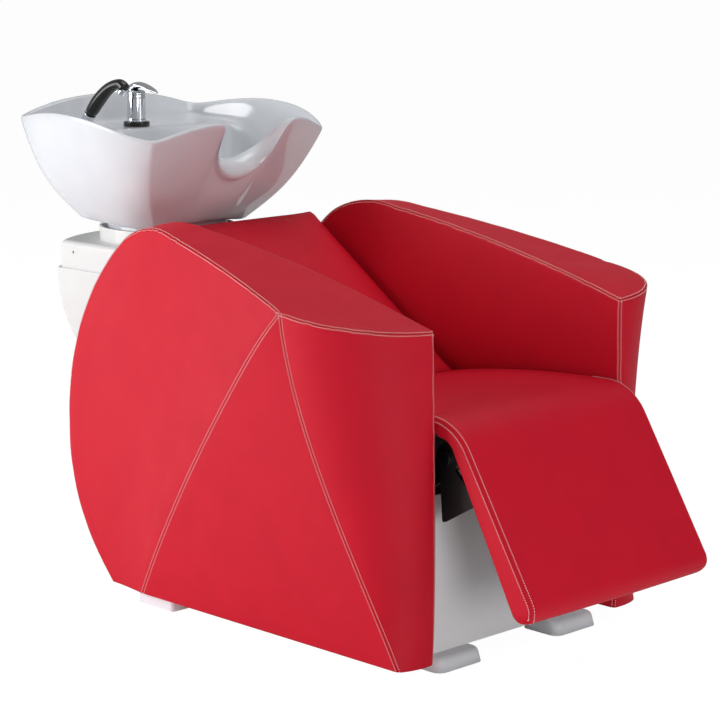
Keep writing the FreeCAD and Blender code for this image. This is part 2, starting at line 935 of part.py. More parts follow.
def actuator_tube():
    bore_end = drive_rest + fork_throat + fork_base + rod_length
    bore_end += drive_ratio * math.radians(legrest_lower) + tube_bore_spare
    start = V(0, tube_front, drive_height)
    outside = bar(start, V(0, gearbox_front, drive_height), tube_radius)
    return outside.cut(bar(start, V(0, bore_end, drive_height), rod_radius + running_gap))


def actuator_gearbox():
    low = drive_height - motor_drop - gearbox_half
    body = box(-gearbox_half, gearbox_half, gearbox_front, gearbox_rear, low, drive_height + gearbox_above)
    lug = box(-lug_half, lug_half, gearbox_rear, gearbox_rear + lug_length,
              drive_height - lug_half, drive_height + lug_half)
    return joined([body, lug]).cut(actuator_mount_pin())


def actuator_motor():
    height = drive_height - motor_drop
    return bar(V(0, gearbox_front - motor_length, height), V(0, gearbox_front, height), motor_radius)


def mount_pin_back():
    return gearbox_rear + lug_length - lug_half


def actuator_mount_pin():
    end = lug_half + mount_ear + mount_plate
    return across(mount_pin_back(), drive_height, -end, end, mount_pin_radius)


def actuator_mount():
    """Clevis on the rear seat rail, with the pin that holds the actuator's lug."""
    plate_front = seat_post_back - mount_plate
    low = drive_height - mount_half
    pieces = [box(-mount_half, mount_half, plate_front, seat_post_back, low, seat_rail_top)]
    for sign in (-1, 1):
        x0, x1 = sorted((sign * lug_half, sign * (lug_half + mount_ear)))
        pieces.append(box(x0, x1, mount_pin_back() - lug_half, plate_front,
                          drive_height - lug_half, drive_height + lug_half))
    return joined(pieces + [actuator_mount_pin()])


# Column, yoke and pedestal

def anchor_centres():
    first = column_back - floor_plate_lip + anchor_margin
    return [(sign * anchor_half_x, first + row * anchor_spacing_y) for sign in (-1, 1) for row in (0, 1)]


def column():
    front, rear = column_back - floor_plate_lip, column_rear + floor_plate_tail
    plate = box(-floor_plate_half, floor_plate_half, front, rear, 0, floor_plate_thickness)
    for x, y in anchor_centres():
        plate = plate.cut(upright(x, y, 0, floor_plate_thickness, anchor_radius))
    post = box(-column_half, column_half, column_back, column_rear, floor_plate_thickness, column_height)
    inside = column_half - column_wall
    hollow = box(-inside, inside, column_back + column_wall, column_rear - column_wall,
                 floor_plate_thickness, column_height - yoke_base)
    return joined([plate, post.cut(hollow)])


def tilt_yoke():
    base = box(-yoke_outer, yoke_outer, column_back, yoke_end, column_height, yoke_floor)
    top = tilt_height + yoke_eye
    knee = (column_back + tilt_back) / 2
    steps = [
        (column_back, yoke_floor, 0),
        (column_back, yoke_floor + yoke_toe, 0),
        (knee, (yoke_floor + top) / 2 + yoke_knee_rise, 0),
        (tilt_back - yoke_top_half, top, 0),
        (tilt_back + yoke_top_half, top, 0),
        (yoke_end, yoke_floor, 0),
    ]
    cheek = side_plate(steps, yoke_inner, yoke_outer)
    hole = across(tilt_back, tilt_height, yoke_inner, yoke_outer, tilt_pin_radius)
    cheek = cheek.cut(hole)
    return joined([base, cheek, mirrored(cheek)])


def tilt_pin():
    inner = cradle_lug_outer - cradle_lug
    shank = across(tilt_back, tilt_height, inner, yoke_outer, tilt_pin_radius)
    head = across(tilt_back, tilt_height, yoke_outer, yoke_outer + tilt_pin_head_height, tilt_pin_head)
    return joined([shank, head])


def tilt_washer():
    low, high = cradle_lug_outer + washer_gap, yoke_inner
    disc = across(tilt_back, tilt_height, low, high, washer_radius)
    return disc.cut(across(tilt_back, tilt_height, low, high, tilt_pin_radius))


def shell_ring(share, inset, z):
    """Plan of the lower shell: straight front and sides, bowed rear; it draws in as share goes to 1."""
    ease = share ** 2
    side = blend(ease, shell_half, shell_foot_half) - inset
    back = blend(ease, shell_side_back, shell_foot_back) - inset
    bow = blend(share, shell_rear_bow, shell_foot_bow)
    front = shell_front + inset
    steps = [(-side, front, 0), (side, front, 0), (side, back, 0), (-side, back, -bow)]
    return loop(steps, lambda x, y: V(x, y, z))


def shell_hull(inset):
    rings = []
    for share in shell_shares:
        level = shell_top - shell_depth * math.sin(share * math.pi / 2)
        rings.append(shell_ring(share, inset, max(level, shell_top - shell_depth + inset)))
    return Part.makeLoft(rings, True, False)


def pedestal_shell():
    hull = shell_hull(0.0)
    inside = shell_hull(shell_wall)
    lip = shell_top - shell_wall
    flange_hole = Part.Face(shell_ring(0.0, shell_wall + shell_flange, lip)).extrude(V(0, 0, shell_wall))
    below = box(-shell_half * 2, shell_half * 2, 0, basin_rim_rear * 2, 0, lip)
    hollow = inside.common(below)
    opening_end = shell_front + shell_wall + shell_flange
    opening = box(-shell_opening_half, shell_opening_half, shell_front, opening_end,
                  column_height, column_height + shell_opening_height)
    return hull.cut(hollow).cut(flange_hole).cut(opening)


def pedestal_cover():
    outer = Part.Face(shell_ring(0.0, cover_inset, shell_top)).extrude(V(0, 0, cover_height))
    outer = rounded(outer, cover_edge, lambda b: b.ZMin > cover_top - 1)
    inner = Part.Face(shell_ring(0.0, cover_inset + cover_wall, shell_top))
    shell = outer.cut(inner.extrude(V(0, 0, cover_height - cover_wall)))
    hole = upright(0, collar_back, shell_top, cover_top, cover_hole_radius)
    front = shell_front + cover_inset
    opening = box(-shell_opening_half, shell_opening_half, front, front + cover_wall,
                  shell_top, column_height + shell_opening_height)
    return shell.cut(hole).cut(opening).cut(pair(cover_screws(screw_clearance / 2)))


def cover_screws(grow):
    outer = shell_half - cover_inset
    screws = []
    for place in cover_screw_places:
        start = V(outer, shell_front + place, shell_top + cover_screw_height)
        shank = bar(start, start - V(cover_screw_length, 0, 0), cover_screw_radius / 2 + grow)
        head = bar(start, start - V(cover_screw_head, 0, 0), cover_screw_radius + grow)
        screws.append(joined([shank, head]))
    return Part.makeCompound(screws)


def collar():
    start, end = V(0, collar_back, cover_top), V(0, collar_back, cover_top + collar_height)
    return tube(start, end, collar_radius, collar_radius - collar_wall)


def shell_bracket():
    front = shell_front + shell_wall
    low = yoke_floor + shell_bracket_lift
    high = low + shell_bracket_size
    thin = shell_bracket_thickness
    on_yoke = box(yoke_outer, yoke_outer + thin, front, front + shell_bracket_size, low, high)
    on_shell = box(yoke_outer, yoke_outer + shell_bracket_size, front, front + thin, low, high)
    return joined([on_yoke, on_shell])


# Basin

def at_level(z, base, mid, rim):
    """Smooth change of one measure of the basin with height, through its base, middle and rim values."""
    to_base = (z - basin_mid) * (z - basin_rim) / ((basin_base - basin_mid) * (basin_base - basin_rim))
    to_mid = (z - basin_base) * (z - basin_rim) / ((basin_mid - basin_base) * (basin_mid - basin_rim))
    to_rim = (z - basin_base) * (z - basin_mid) / ((basin_rim - basin_base) * (basin_rim - basin_mid))
    return base * to_base + mid * to_mid + rim * to_rim


def basin_ring(z, inset):
    """Plan of the basin: bowed rear and sides, and two front lobes that meet behind the neck."""
    side = at_level(z, basin_base_half, basin_mid_half, basin_rim_half) - inset
    front = tilt_back - at_level(z, basin_base_ahead, basin_mid_ahead, basin_rim_ahead) + inset
    rear = tilt_back + at_level(z, basin_base_behind, basin_mid_behind, basin_rim_behind) - inset
    notch = tilt_back - at_level(z, notch_base_ahead, notch_mid_ahead, notch_rim_ahead) + inset
    lobe = at_level(z, lobe_base_bow, lobe_mid_bow, lobe_rim_bow)
    bow = at_level(z, side_base_bow, side_mid_bow, side_rim_bow)
    rear_bow = at_level(z, rear_base_bow, rear_mid_bow, rear_rim_bow)
    rear_side = side + at_level(z, rear_base_flare, rear_mid_flare, rear_rim_flare)
    valley = lobe * valley_share
    steps = [
        (-side, front, -bow),
        (-valley_half, notch - valley, -lobe),
        (valley_half, notch - valley, valley),
        (side, front, -lobe),
        (rear_side, rear, -bow),
        (-rear_side, rear, -rear_bow),
    ]
    return loop(steps, lambda x, y: V(x, y, z))


def basin_body(inset, low, high):
    last = basin_rings - 1
    rings = [basin_ring(blend(step / last, low, high), inset) for step in range(basin_rings)]
    return Part.makeLoft(rings, True, False)


def under_rim():
    """Everything below the rim, which arches over the sides and over the front and rear."""
    reach = basin_rim_rear
    wide = basin_rim_half * 2
    span = basin_rim_rear - basin_rim_front
    side_bow = rim_side_height - (rim_front_height + rim_rear_height) / 2
    fall = (rim_side_height - rim_front_height) / span * 2
    ends = basin_rim_half / 2
    along = [
        (basin_rim_front - ends, basin_base - ends, 0),
        (basin_rim_front - ends, rim_front_height - fall * ends, 0),
        (basin_rim_front, rim_front_height, 0),
        (basin_rim_rear, rim_rear_height, side_bow),
        (basin_rim_rear + ends, rim_rear_height - fall * ends, 0),
        (basin_rim_rear + ends, basin_base - ends, 0),
    ]
    lengthways = side_plate(along, -wide / 2 - ends, wide / 2 + ends)
    bow = rim_middle_height - rim_front_height
    half_wide = basin_rim_half + rim_vault_margin
    sideways = [
        (-half_wide, basin_base - ends, 0),
        (-half_wide, rim_front_height, 0),
        (half_wide, rim_front_height, bow),
        (half_wide, basin_base - ends, 0),
    ]
    start = basin_rim_front - ends
    face = Part.Face(loop(sideways, lambda x, z: V(x, start, z)))
    vault = face.extrude(V(0, reach - start + ends, rim_middle_rise))
    return joined([lengthways, vault])


def before_wall(offset, top):
    """Everything ahead of the bowl's raked rear wall, moved back by an offset."""
    low = basin_base - basin_wall * 2
    slope = (deck_front - bowl_rear_foot) / (deck_height - bowl_floor)
    low_back = bowl_rear_foot - slope * (bowl_floor - low) + offset
    top_back = bowl_rear_foot + slope * (top - bowl_floor) + offset
    steps = [(0, low, 0), (0, top, 0), (top_back, top, 0), (low_back, low, 0)]
    return side_plate(steps, -basin_rim_half * 2, basin_rim_half * 2)


def basin():
    top = rim_side_height + basin_wall * 3
    low = basin_base - basin_wall
    wide = basin_rim_half * 2
    far = basin_rim_rear * 2
    outer = basin_body(0.0, basin_base, top).common(under_rim())
    room = basin_body(basin_wall, low, top)
    bowl = room.common(before_wall(0.0, top)).common(box(-wide, wide, 0, far, bowl_floor, top))
    above_deck = room.common(box(-wide, wide, 0, far, deck_height, top))
    pocket_box = box(-pocket_half, pocket_half, 0, far, low, deck_height - deck_thickness)
    pocket = room.common(pocket_box).cut(before_wall(basin_wall, top))
    neck_centre = neck_height + neck_radius
    reach = basin_rim_front + basin_wall * 3
    neck = bar(V(0, 0, neck_centre), V(0, reach, neck_centre), neck_radius)
    neck_top = box(-neck_radius, neck_radius, 0, reach, neck_centre, top)
    body = outer.cut(bowl).cut(above_deck).cut(pocket).cut(neck).cut(neck_top)
    drain = upright(0, drain_back, low, bowl_floor, drain_radius + drain_hole_gap)
    under_deck = deck_height - deck_thickness
    tap = upright(0, tap_back, under_deck, top, tap_shank_radius + tap_hole_gap)
    holder = upright(-shower_side, holder_back, under_deck, top, holder_shank_radius + tap_hole_gap)
    return body.cut(drain).cut(tap).cut(holder).cut(cradle_studs())


def cradle():
    front, rear = tilt_back - cradle_depth / 2, tilt_back + cradle_depth / 2
    plate = box(-cradle_half, cradle_half, front, rear, cradle_bottom, cradle_top)
    inner = cradle_lug_outer - cradle_lug
    eye = across(tilt_back, tilt_height, inner, cradle_lug_outer, yoke_eye)
    web = box(inner, cradle_lug_outer, tilt_back - yoke_eye, tilt_back + yoke_eye, tilt_height, cradle_bottom)
    hole = across(tilt_back, tilt_height, inner, cradle_lug_outer, tilt_pin_radius + running_gap)
    lug = joined([eye, web]).cut(hole)
    return joined([plate, lug, mirrored(lug)]).cut(cradle_studs())


def cradle_cushion():
    front, rear = tilt_back - cradle_depth / 2, tilt_back + cradle_depth / 2
    pad = box(-cradle_half, cradle_half, front, rear, cradle_top, basin_base)
    return pad.cut(cradle_studs())


def cradle_studs():
    studs = []
    for sign in (-1, 1):
        x = sign * stud_spacing / 2
        shank = upright(x, tilt_back, cradle_bottom - stud_nut_height, basin_base + stud_bite, stud_radius)
        nut = upright(x, tilt_back, cradle_bottom - stud_nut_height, cradle_bottom, stud_nut_radius)
        studs.append(joined([shank, nut]))
    return Part.makeCompound(studs)


# Drain

def drain_flange():
    top = bowl_floor + drain_flange_thickness
    throat = upright(0, drain_back, drain_tail_end, top, drain_radius)
    rim = upright(0, drain_back, bowl_floor, top, drain_flange_radius)
    return joined([throat, rim]).cut(upright(0, drain_back, drain_tail_end, top, drain_bore))


def drain_gasket():
    low = basin_base - drain_gasket_thickness
    return tube(V(0, drain_back, low), V(0, drain_back, basin_base), drain_flange_radius, drain_radius)


def drain_nut():
    high = basin_base - drain_gasket_thickness
    low = high - drain_nut_height
    return tube(V(0, drain_back, low), V(0, drain_back, high), drain_flange_radius, drain_radius)


def waste_trap():
    """Bottle trap on the drain's tail, with its outlet towards the chair."""
    top = drain_tail_end
    bottom = top - trap_height
    cup = upright(0, drain_back, bottom, top, trap_radius)
    grip = upright(0, drain_back, top, top + trap_grip, trap_collar)
    height = top - trap_outlet_drop
    reach = V(0, drain_back - trap_radius - trap_outlet_length, height)
    spigot = bar(reach, V(0, drain_back, height), trap_outlet_radius)
    cup_room = upright(0, drain_back, bottom + trap_wall, top - trap_wall, trap_radius - trap_wall)
    spigot_room = bar(reach, V(0, drain_back, height), trap_outlet_radius - trap_wall)
    mouth = upright(0, drain_back, top, top + trap_grip, drain_radius)
    throat = upright(0, drain_back, top - trap_wall, top, drain_bore)
    return joined([cup, grip, spigot]).cut(cup_room).cut(spigot_room).cut(mouth).cut(throat)


def strainer():
    seat = bowl_floor + drain_flange_thickness
    rim = upright(0, drain_back, seat, seat + strainer_wall, strainer_rim)
    cup_radius = drain_bore - strainer_gap
    cup = upright(0, drain_back, seat - strainer_depth, seat, cup_radius)
    room = upright(0, drain_back, seat - strainer_depth + strainer_wall, seat + strainer_wall,
                   cup_radius - strainer_wall)
    floor = seat - strainer_depth
    knob = upright(0, drain_back, floor, seat + strainer_knob_height, strainer_knob_radius)
    body = joined([joined([rim, cup]).cut(room), knob])
    circle = (strainer_knob_radius + cup_radius - strainer_wall) / 2
    for index in range(strainer_holes):
        angle = 2 * math.pi * index / strainer_holes
        x, y = circle * math.cos(angle), drain_back + circle * math.sin(angle)
        body = body.cut(upright(x, y, floor, floor + strainer_wall, strainer_hole))
    return body


# Mixer tap

def tap_top():
    return deck_height + tap_ring_height + tap_body_height


def mixer_ring():
    low, high = V(0, tap_back, deck_height), V(0, tap_back, deck_height + tap_ring_height)
    return tube(low, high, tap_ring_radius, tap_shank_radius)


def mixer_body():
    low = deck_height - deck_thickness - tap_nut_height
    shank = upright(0, tap_back, low, deck_height + tap_ring_height, tap_shank_radius)
    body = upright(0, tap_back, deck_height + tap_ring_height, tap_top(), tap_radius)
    return joined([shank, body]).cut(supply_tails())


def mixer_nut():
    high = deck_height - deck_thickness
    low = V(0, tap_back, high - tap_nut_height)
    return tube(low, V(0, tap_back, high), tap_nut_radius, tap_shank_radius)


def supply_tails():
    low = deck_height - deck_thickness - tail_length
    x = tail_spacing / 2
    return pair(upright(x, tap_back, low, deck_height, tail_radius))


def lever_pivot():
    return tap_back + lever_pin_back, tap_top() + cap_gap + cap_height + cap_ear_rise / 2


def mixer_cap():
    """Swivelling cap with two ears for the lever's pin."""
    low = tap_top() + cap_gap
    disc = upright(0, tap_back, low, low + cap_height, tap_radius)
    y, z = lever_pivot()
    ear_half = lever_pin_radius * 2
    ears = []
    for sign in (-1, 1):
        x0, x1 = sorted((sign * cap_ear_half, sign * (cap_ear_half + cap_ear_width)))
        ears.append(box(x0, x1, y - ear_half, y + ear_half, low + cap_height, z))
        ears.append(across(y, z, x0, x1, ear_half))
    inside = upright(0, tap_back, low, low + cap_height + cap_ear_rise * 2, tap_radius)
    return joined([joined([disc] + ears).common(inside), lever_pin()])


def lever_pin():
    y, z = lever_pivot()
    end = cap_ear_half + lever_pin_bite
    return across(y, z, -end, end, lever_pin_radius)


def mixer_lever():
    """Arched lever: a side profile cut to a tapering plan, with a knuckle between the cap's ears."""
    y, z = lever_pivot()
    base = tap_top() + cap_gap + cap_height + lever_clear
    front = tap_back - lever_reach
    tip = base + lever_rise - lever_tip_drop
    knuckle = lever_pin_radius * 2
    profile = [
        (y, z - knuckle + lever_clear, 0),
        (y, z + knuckle, 0),
        (front, tip + lever_grip / 2, lever_rise / 2),
        (front, tip - lever_grip / 2, 0),
        (tap_back - tap_radius, base + lever_clear, -lever_grip / 2),
    ]
    blade = side_plate(profile, -tap_radius, tap_radius)
    wide = cap_ear_half - lever_clear
    plan = [(-wide, y, 0), (wide, y, 0), (lever_tip_half, front, 0), (-lever_tip_half, front, 0)]
    blade = blade.common(level_plate(plan, base - lever_grip, base + lever_rise * 3))
    eye = across(y, z, -wide, wide, knuckle - lever_clear / 2)
    hole = across(y, z, -wide, wide, lever_pin_radius + running_gap)
    return joined([blade, eye]).cut(hole)


# Hand shower

def shower_axis():
    angle = math.radians(shower_tilt)
    return V(0, -math.sin(angle), math.cos(angle))


def shower_root():
    return V(-shower_side, holder_back, deck_height + holder_flange_height)


def shower_holder():
    """Raked sleeve on a flange, with a shank and a hose way through the deck."""
    root, axis = shower_root(), shower_axis()
    flange = upright(root.x, root.y, deck_height, root.z, holder_flange_radius)
    low = deck_height - deck_thickness - holder_nut_height
    shank = upright(root.x, root.y, low, deck_height, holder_shank_radius)
    sleeve = bar(root - axis * holder_flange_height, root + axis * holder_rise, holder_radius)
    above = box(root.x - half, root.x + half, 0, basin_rim_rear, deck_height, rim_side_height)
    sleeve = sleeve.common(above)
    bore = bar(root, root + axis * holder_rise, holder_bore)
    drop = upright(root.x, root.y, low, root.z, holder_bore)
    elbow = Part.makeSphere(holder_bore, root)
    return joined([flange, shank, sleeve]).cut(bore).cut(drop).cut(elbow)


def holder_nut():
    root = shower_root()
    high = deck_height - deck_thickness
    low = V(root.x, root.y, high - holder_nut_height)
    return tube(low, V(root.x, root.y, high), holder_nut_radius, holder_shank_radius)


def shower_nut():
    """Swivel nut that sits on the sleeve, with the hose tail inside it."""
    axis = shower_axis()
    seat = shower_root() + axis * holder_rise
    nut = Part.makeCone(shower_nut_radius, shower_grip_radius, shower_nut_height, seat, axis)
    stub = bar(seat - axis * shower_stub_length, seat, shower_stub_radius)
    return joined([nut, stub])


def grip_station(run):
    """Point and direction on the grip's centre line: straight, then bent forwards and down."""
    axis = shower_axis()
    start = shower_root() + axis * (holder_rise + shower_nut_height)
    if run <= shower_straight:
        return start + axis * run, axis
    turn = math.radians(shower_bend)
    swept = min((run - shower_straight) / shower_bend_radius, turn)
    inward = V(0, -math.cos(math.radians(shower_tilt)), -math.sin(math.radians(shower_tilt)))
    centre = start + axis * shower_straight + inward * shower_bend_radius
    out = axis * math.sin(swept) - inward * math.cos(swept)
    point = centre + out * shower_bend_radius
    heading = axis * math.cos(swept) + inward * math.sin(swept)
    left = run - shower_straight - shower_bend_radius * swept
    return point + heading * left, heading


def grip_length():
    return shower_straight + shower_bend_radius * math.radians(shower_bend) + shower_head_length


def grip_circle(run, radius):
    point, heading = grip_station(run)
    return Part.Wire(Part.Edge(Part.Circle(point, heading, radius)))


def nozzle_line():
    """Where the nozzle leaves the head, and the way it points."""
    point, heading = grip_station(grip_length() - shower_head_length / 2)
    down = heading.cross(V(1, 0, 0))
    if down.z > 0:
        down = down * -1
    return point, down


def shower_grip():
    length = grip_length()
    stations = [
        (0.0, shower_grip_radius),
        (shower_waist_share, shower_waist_radius),
        (shower_swell_share, shower_grip_radius),
        (shower_head_share, shower_head_radius),
        (1.0, shower_crown_radius),
    ]
    grip = Part.makeLoft([grip_circle(share * length, radius) for share, radius in stations], True, False)
    point, down = nozzle_line()
    start = point + down * (shower_head_radius - nozzle_socket)
    return grip.cut(bar(start, start + down * (nozzle_length * 2), nozzle_radius))


def shower_nozzle():
    point, down = nozzle_line()
    start = point + down * (shower_head_radius - nozzle_socket)
    return bar(start, start + down * nozzle_length, nozzle_radius)


def make_parts():
    parts = {}
    blank, board, bolts = arm_blank(), arm_board(), arm_bolts(0.0)
    bolt_room = arm_bolts(screw_clearance)
    cover = blank.cut(board).cut(arm_bolts(screw_radius / 2))
    sides = {
        "arm_upholstery": cover,
        "legrest_carrier": carrier().cut(legrest_screws(screw_clearance)),
        "front_foot": front_foot().cut(foot_screw_holes()),
        "rear_foot": rear_foot().cut(foot_screw_holes()),
    }
    for name, shape in sides.items():
        parts["left_" + name] = shape
        parts["right_" + name] = mirrored(shape)
    frame = base_frame().cut(pair(bolt_room)).cut(pair(foot_screws(screw_clearance)))
    parts["base_frame"] = frame
    parts["arm_boards"] = pair(board.cut(bolts))
    parts["arm_bolts"] = pair(bolts)
    parts["foot_screws"] = pair(foot_screws(0.0))
    parts["front_panel"] = front_panel()
    parts["rear_access_panel"] = rear_access_panel()
    parts["seat_frame"] = seat_frame()
    parts["seat_board"] = seat_board()
    parts["seat_cushion"] = seat_cushion()
    parts["back_board"] = back_board()
    parts["back_cushion"] = back_cushion()
    parts["hinge_brackets"] = pair(hinge_bracket())
    parts["hinge_bushes"] = pair(hinge_bush())
    parts["legrest_pad"] = legrest_pad()
    parts["legrest_board"] = legrest_board().cut(pair(legrest_screws(0.0)))
    parts["legrest_screws"] = pair(legrest_screws(0.0))
    parts["hinge_shaft"] = hinge_shaft()
    parts["drive_lever"] = drive_lever()
    parts["actuator_rod"] = actuator_rod()
    parts["drive_pin"] = drive_pin()
    parts["actuator_tube"] = actuator_tube()
    parts["actuator_gearbox"] = actuator_gearbox()
    parts["actuator_motor"] = actuator_motor()
    parts["actuator_mount"] = actuator_mount()
    parts["column"] = column()
    parts["tilt_yoke"] = tilt_yoke()
    parts["tilt_pins"] = pair(tilt_pin())
    parts["tilt_washers"] = pair(tilt_washer())
    parts["shell_brackets"] = pair(shell_bracket())
    parts["pedestal_shell"] = pedestal_shell()
    parts["pedestal_cover"] = pedestal_cover()
    parts["cover_screws"] = pair(cover_screws(0.0))
    parts["collar"] = collar()
    parts["basin"] = basin()
    parts["cradle"] = cradle()
    parts["cradle_pad"] = cradle_cushion()
    parts["cradle_studs"] = cradle_studs()
    parts["drain_flange"] = drain_flange()
    parts["drain_gasket"] = drain_gasket()
    parts["drain_nut"] = drain_nut()
    parts["waste_trap"] = waste_trap()
    parts["strainer"] = strainer()
    parts["mixer_ring"] = mixer_ring()
    parts["mixer_body"] = mixer_body()
    parts["supply_tails"] = supply_tails()
    parts["mixer_cap"] = mixer_cap()
    parts["mixer_lever"] = mixer_lever()
    parts["shower_holder"] = shower_holder()
    parts["deck_nuts"] = Part.makeCompound([mixer_nut(), holder_nut()])
    parts["shower_nut"] = shower_nut()
    parts["shower_grip"] = shower_grip()
    parts["shower_nozzle"] = shower_nozzle()
    return parts


def main():
    os.makedirs("parts", exist_ok=True)
    parts = make_parts()
    whole = Part.makeCompound(list(parts.values())).optimalBoundingBox()
    middle = (whole.YMin + whole.YMax) / 2
    for name, shape in parts.items():
        moved = shape.copy()
        moved.translate(V(0, -middle, 0))
        moved.exportStep(os.path.join("parts", name + ".step"))
        print(name, len(moved.Solids), moved.isValid(), round(moved.Volume))
    print("middle", round(middle, 4), "drive rest", round(drive_rest, 4), "ratio", round(drive_ratio, 4))
    print("box", [round(v, 2) for v in (whole.XLength, whole.YLength, whole.ZLength)])


main()
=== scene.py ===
"""Looks of a salon backwash unit: a leatherette armchair with a legrest, and a basin on a pedestal.

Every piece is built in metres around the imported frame. Sizes inside the classes are millimetres in the
maker's axes: X across the chair, Y back from the arms' front edges, Z up from the floor.
"""

import json
import logging
import math
from dataclasses import dataclass
from enum import Enum
from typing import Callable, Sequence

import bmesh
import bpy
from mathutils import Matrix, Vector
from mathutils.bvhtree import BVHTree
from mathutils.kdtree import KDTree

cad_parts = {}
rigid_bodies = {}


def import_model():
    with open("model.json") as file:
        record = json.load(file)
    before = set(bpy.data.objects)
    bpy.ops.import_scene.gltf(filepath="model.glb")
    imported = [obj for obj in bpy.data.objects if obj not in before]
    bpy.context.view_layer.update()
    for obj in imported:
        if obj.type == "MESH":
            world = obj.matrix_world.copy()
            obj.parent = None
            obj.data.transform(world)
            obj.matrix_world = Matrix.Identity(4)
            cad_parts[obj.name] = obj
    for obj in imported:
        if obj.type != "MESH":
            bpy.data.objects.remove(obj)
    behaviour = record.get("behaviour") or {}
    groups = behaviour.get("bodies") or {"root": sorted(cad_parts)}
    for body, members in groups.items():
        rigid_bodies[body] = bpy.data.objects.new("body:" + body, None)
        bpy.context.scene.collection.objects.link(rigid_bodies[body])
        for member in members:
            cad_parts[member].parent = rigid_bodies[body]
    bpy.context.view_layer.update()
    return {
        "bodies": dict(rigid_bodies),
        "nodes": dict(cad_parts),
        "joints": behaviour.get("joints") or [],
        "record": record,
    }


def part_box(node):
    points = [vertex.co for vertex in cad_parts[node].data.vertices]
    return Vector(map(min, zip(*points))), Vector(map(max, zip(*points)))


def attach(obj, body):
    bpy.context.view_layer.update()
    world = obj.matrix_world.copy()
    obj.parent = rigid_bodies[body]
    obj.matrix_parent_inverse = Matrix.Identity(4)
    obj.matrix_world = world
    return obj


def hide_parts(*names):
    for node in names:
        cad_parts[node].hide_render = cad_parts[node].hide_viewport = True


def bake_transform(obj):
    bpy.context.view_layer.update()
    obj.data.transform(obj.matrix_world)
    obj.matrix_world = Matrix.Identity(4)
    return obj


Pair = tuple[float, float]
Spot = tuple[float, float, float]
Mesh = bmesh.types.BMesh
Piece = bpy.types.Object
Tree = bpy.types.NodeTree
Node = bpy.types.Node
Socket = bpy.types.NodeSocket

LOG = logging.getLogger("backwash_unit")
MM = 0.001
ACROSS = Vector((1.0, 0.0, 0.0))
UP = Vector((0.0, 0.0, 1.0))

# How far the front panel stands behind the front edges of the arms.
PANEL_SETBACK = 45.0

# Longest gaps that are joined in fine tubes and turned pieces, and in skins of larger cells.
FINE_GAP = 0.01
CELL_GAP = 0.02

# Steps of one turn on the lathe, and the last share of a curve that still has a stretch ahead of it.
TURN_STEPS = 48
LAST_SHARE = 0.9999


class Side(Enum):
    """The sitter's two sides, as the sign of X."""

    RIGHT = -1
    LEFT = 1


@dataclass(frozen=True)
class Bench:
    """The maker's axes over the frame.

    Args:
        front: Y of the arms' front edges in the frame, in metres.
    """

    front: float

    def at(self, x: float, y: float, z: float) -> Vector:
        """Returns a point of the maker's axes, in millimetres, as a point of the frame in metres."""
        return Vector((x * MM, y * MM + self.front, z * MM))


def blend(share: float, low: float, high: float) -> float:
    """Returns the value that lies a share of the way from low to high."""
    return low + (high - low) * share


def hump(share: float) -> float:
    """Returns a bow over a share: 0 at both ends and 1 halfway."""
    return 4 * share * (1 - share)


def late_hump(share: float) -> float:
    """Returns a bow over a share: 0 at both ends and 1 at two thirds."""
    return 6.75 * share * share * (1 - share)


def crowded(share: float) -> float:
    """Returns a share drawn towards its nearer end, so that cells crowd along the borders of a panel."""
    return share - math.sin(math.tau * share) / 12


def steps(count: int) -> list[float]:
    """Returns the shares at which a number of equal steps start."""
    return [step / count for step in range(count)]


def along_arc(start: Sequence[float], end: Sequence[float], bow: float, share: float) -> Pair:
    """Finds a point on a flat arc.

    Args:
        start: First end of the arc.
        end: Other end of the arc.
        bow: Rise of the arc over its chord, positive to the left of the way from start to end.
        share: Share of the arc, from 0 at start to 1 at end.

    Returns:
        The two coordinates of the point.
    """
    across, up = end[0] - start[0], end[1] - start[1]
    length = math.hypot(across, up)
    middle = ((start[0] + end[0]) / 2, (start[1] + end[1]) / 2)
    half_angle = 2 * math.atan2(2 * bow, length)
    if abs(half_angle) < 1e-9:
        return blend(share, start[0], end[0]), blend(share, start[1], end[1])
    radius = (length * length / 4 + bow * bow) / (2 * bow)
    angle = (2 * share - 1) * half_angle
    run = radius * math.sin(angle) / length
    rise = (radius * math.cos(angle) - radius + bow) / length
    return middle[0] + across * run - up * rise, middle[1] + up * run + across * rise


def through(points: Sequence[Sequence[float]], share: float) -> Vector:
    """Finds a point of a smooth curve through several points.

    Args:
        points: The points that the curve goes through.
        share: Share along the curve.

    Returns:
        The point, with as many coordinates as the others.
    """
    last = len(points) - 1
    place = min(share, LAST_SHARE) * last
    first = int(place)
    part = place - first
    near = [Vector(points[max(0, min(last, first + step))]) for step in (-1, 0, 1, 2)]
    lead, tail = (near[2] - near[0]) / 2, (near[3] - near[1]) / 2
    square, cube = part * part, part * part * part
    return (near[1] * (2 * cube - 3 * square + 1) + lead * (cube - 2 * square + part)
            + near[2] * (3 * square - 2 * cube) + tail * (cube - square))


# Finishes

def linear(colour: str) -> tuple[float, float, float, float]:
    """Turns an sRGB hex value to a linear colour.

    Args:
        colour: Six hex digits after a hash sign.

    Returns:
        Red, green, blue and alpha, linear.
    """
    parts = [int(colour[place:place + 2], 16) / 255 for place in (1, 3, 5)]
    red, green, blue = (c / 12.92 if c <= 0.04045 else ((c + 0.055) / 1.055) ** 2.4 for c in parts)
    return red, green, blue, 1.0


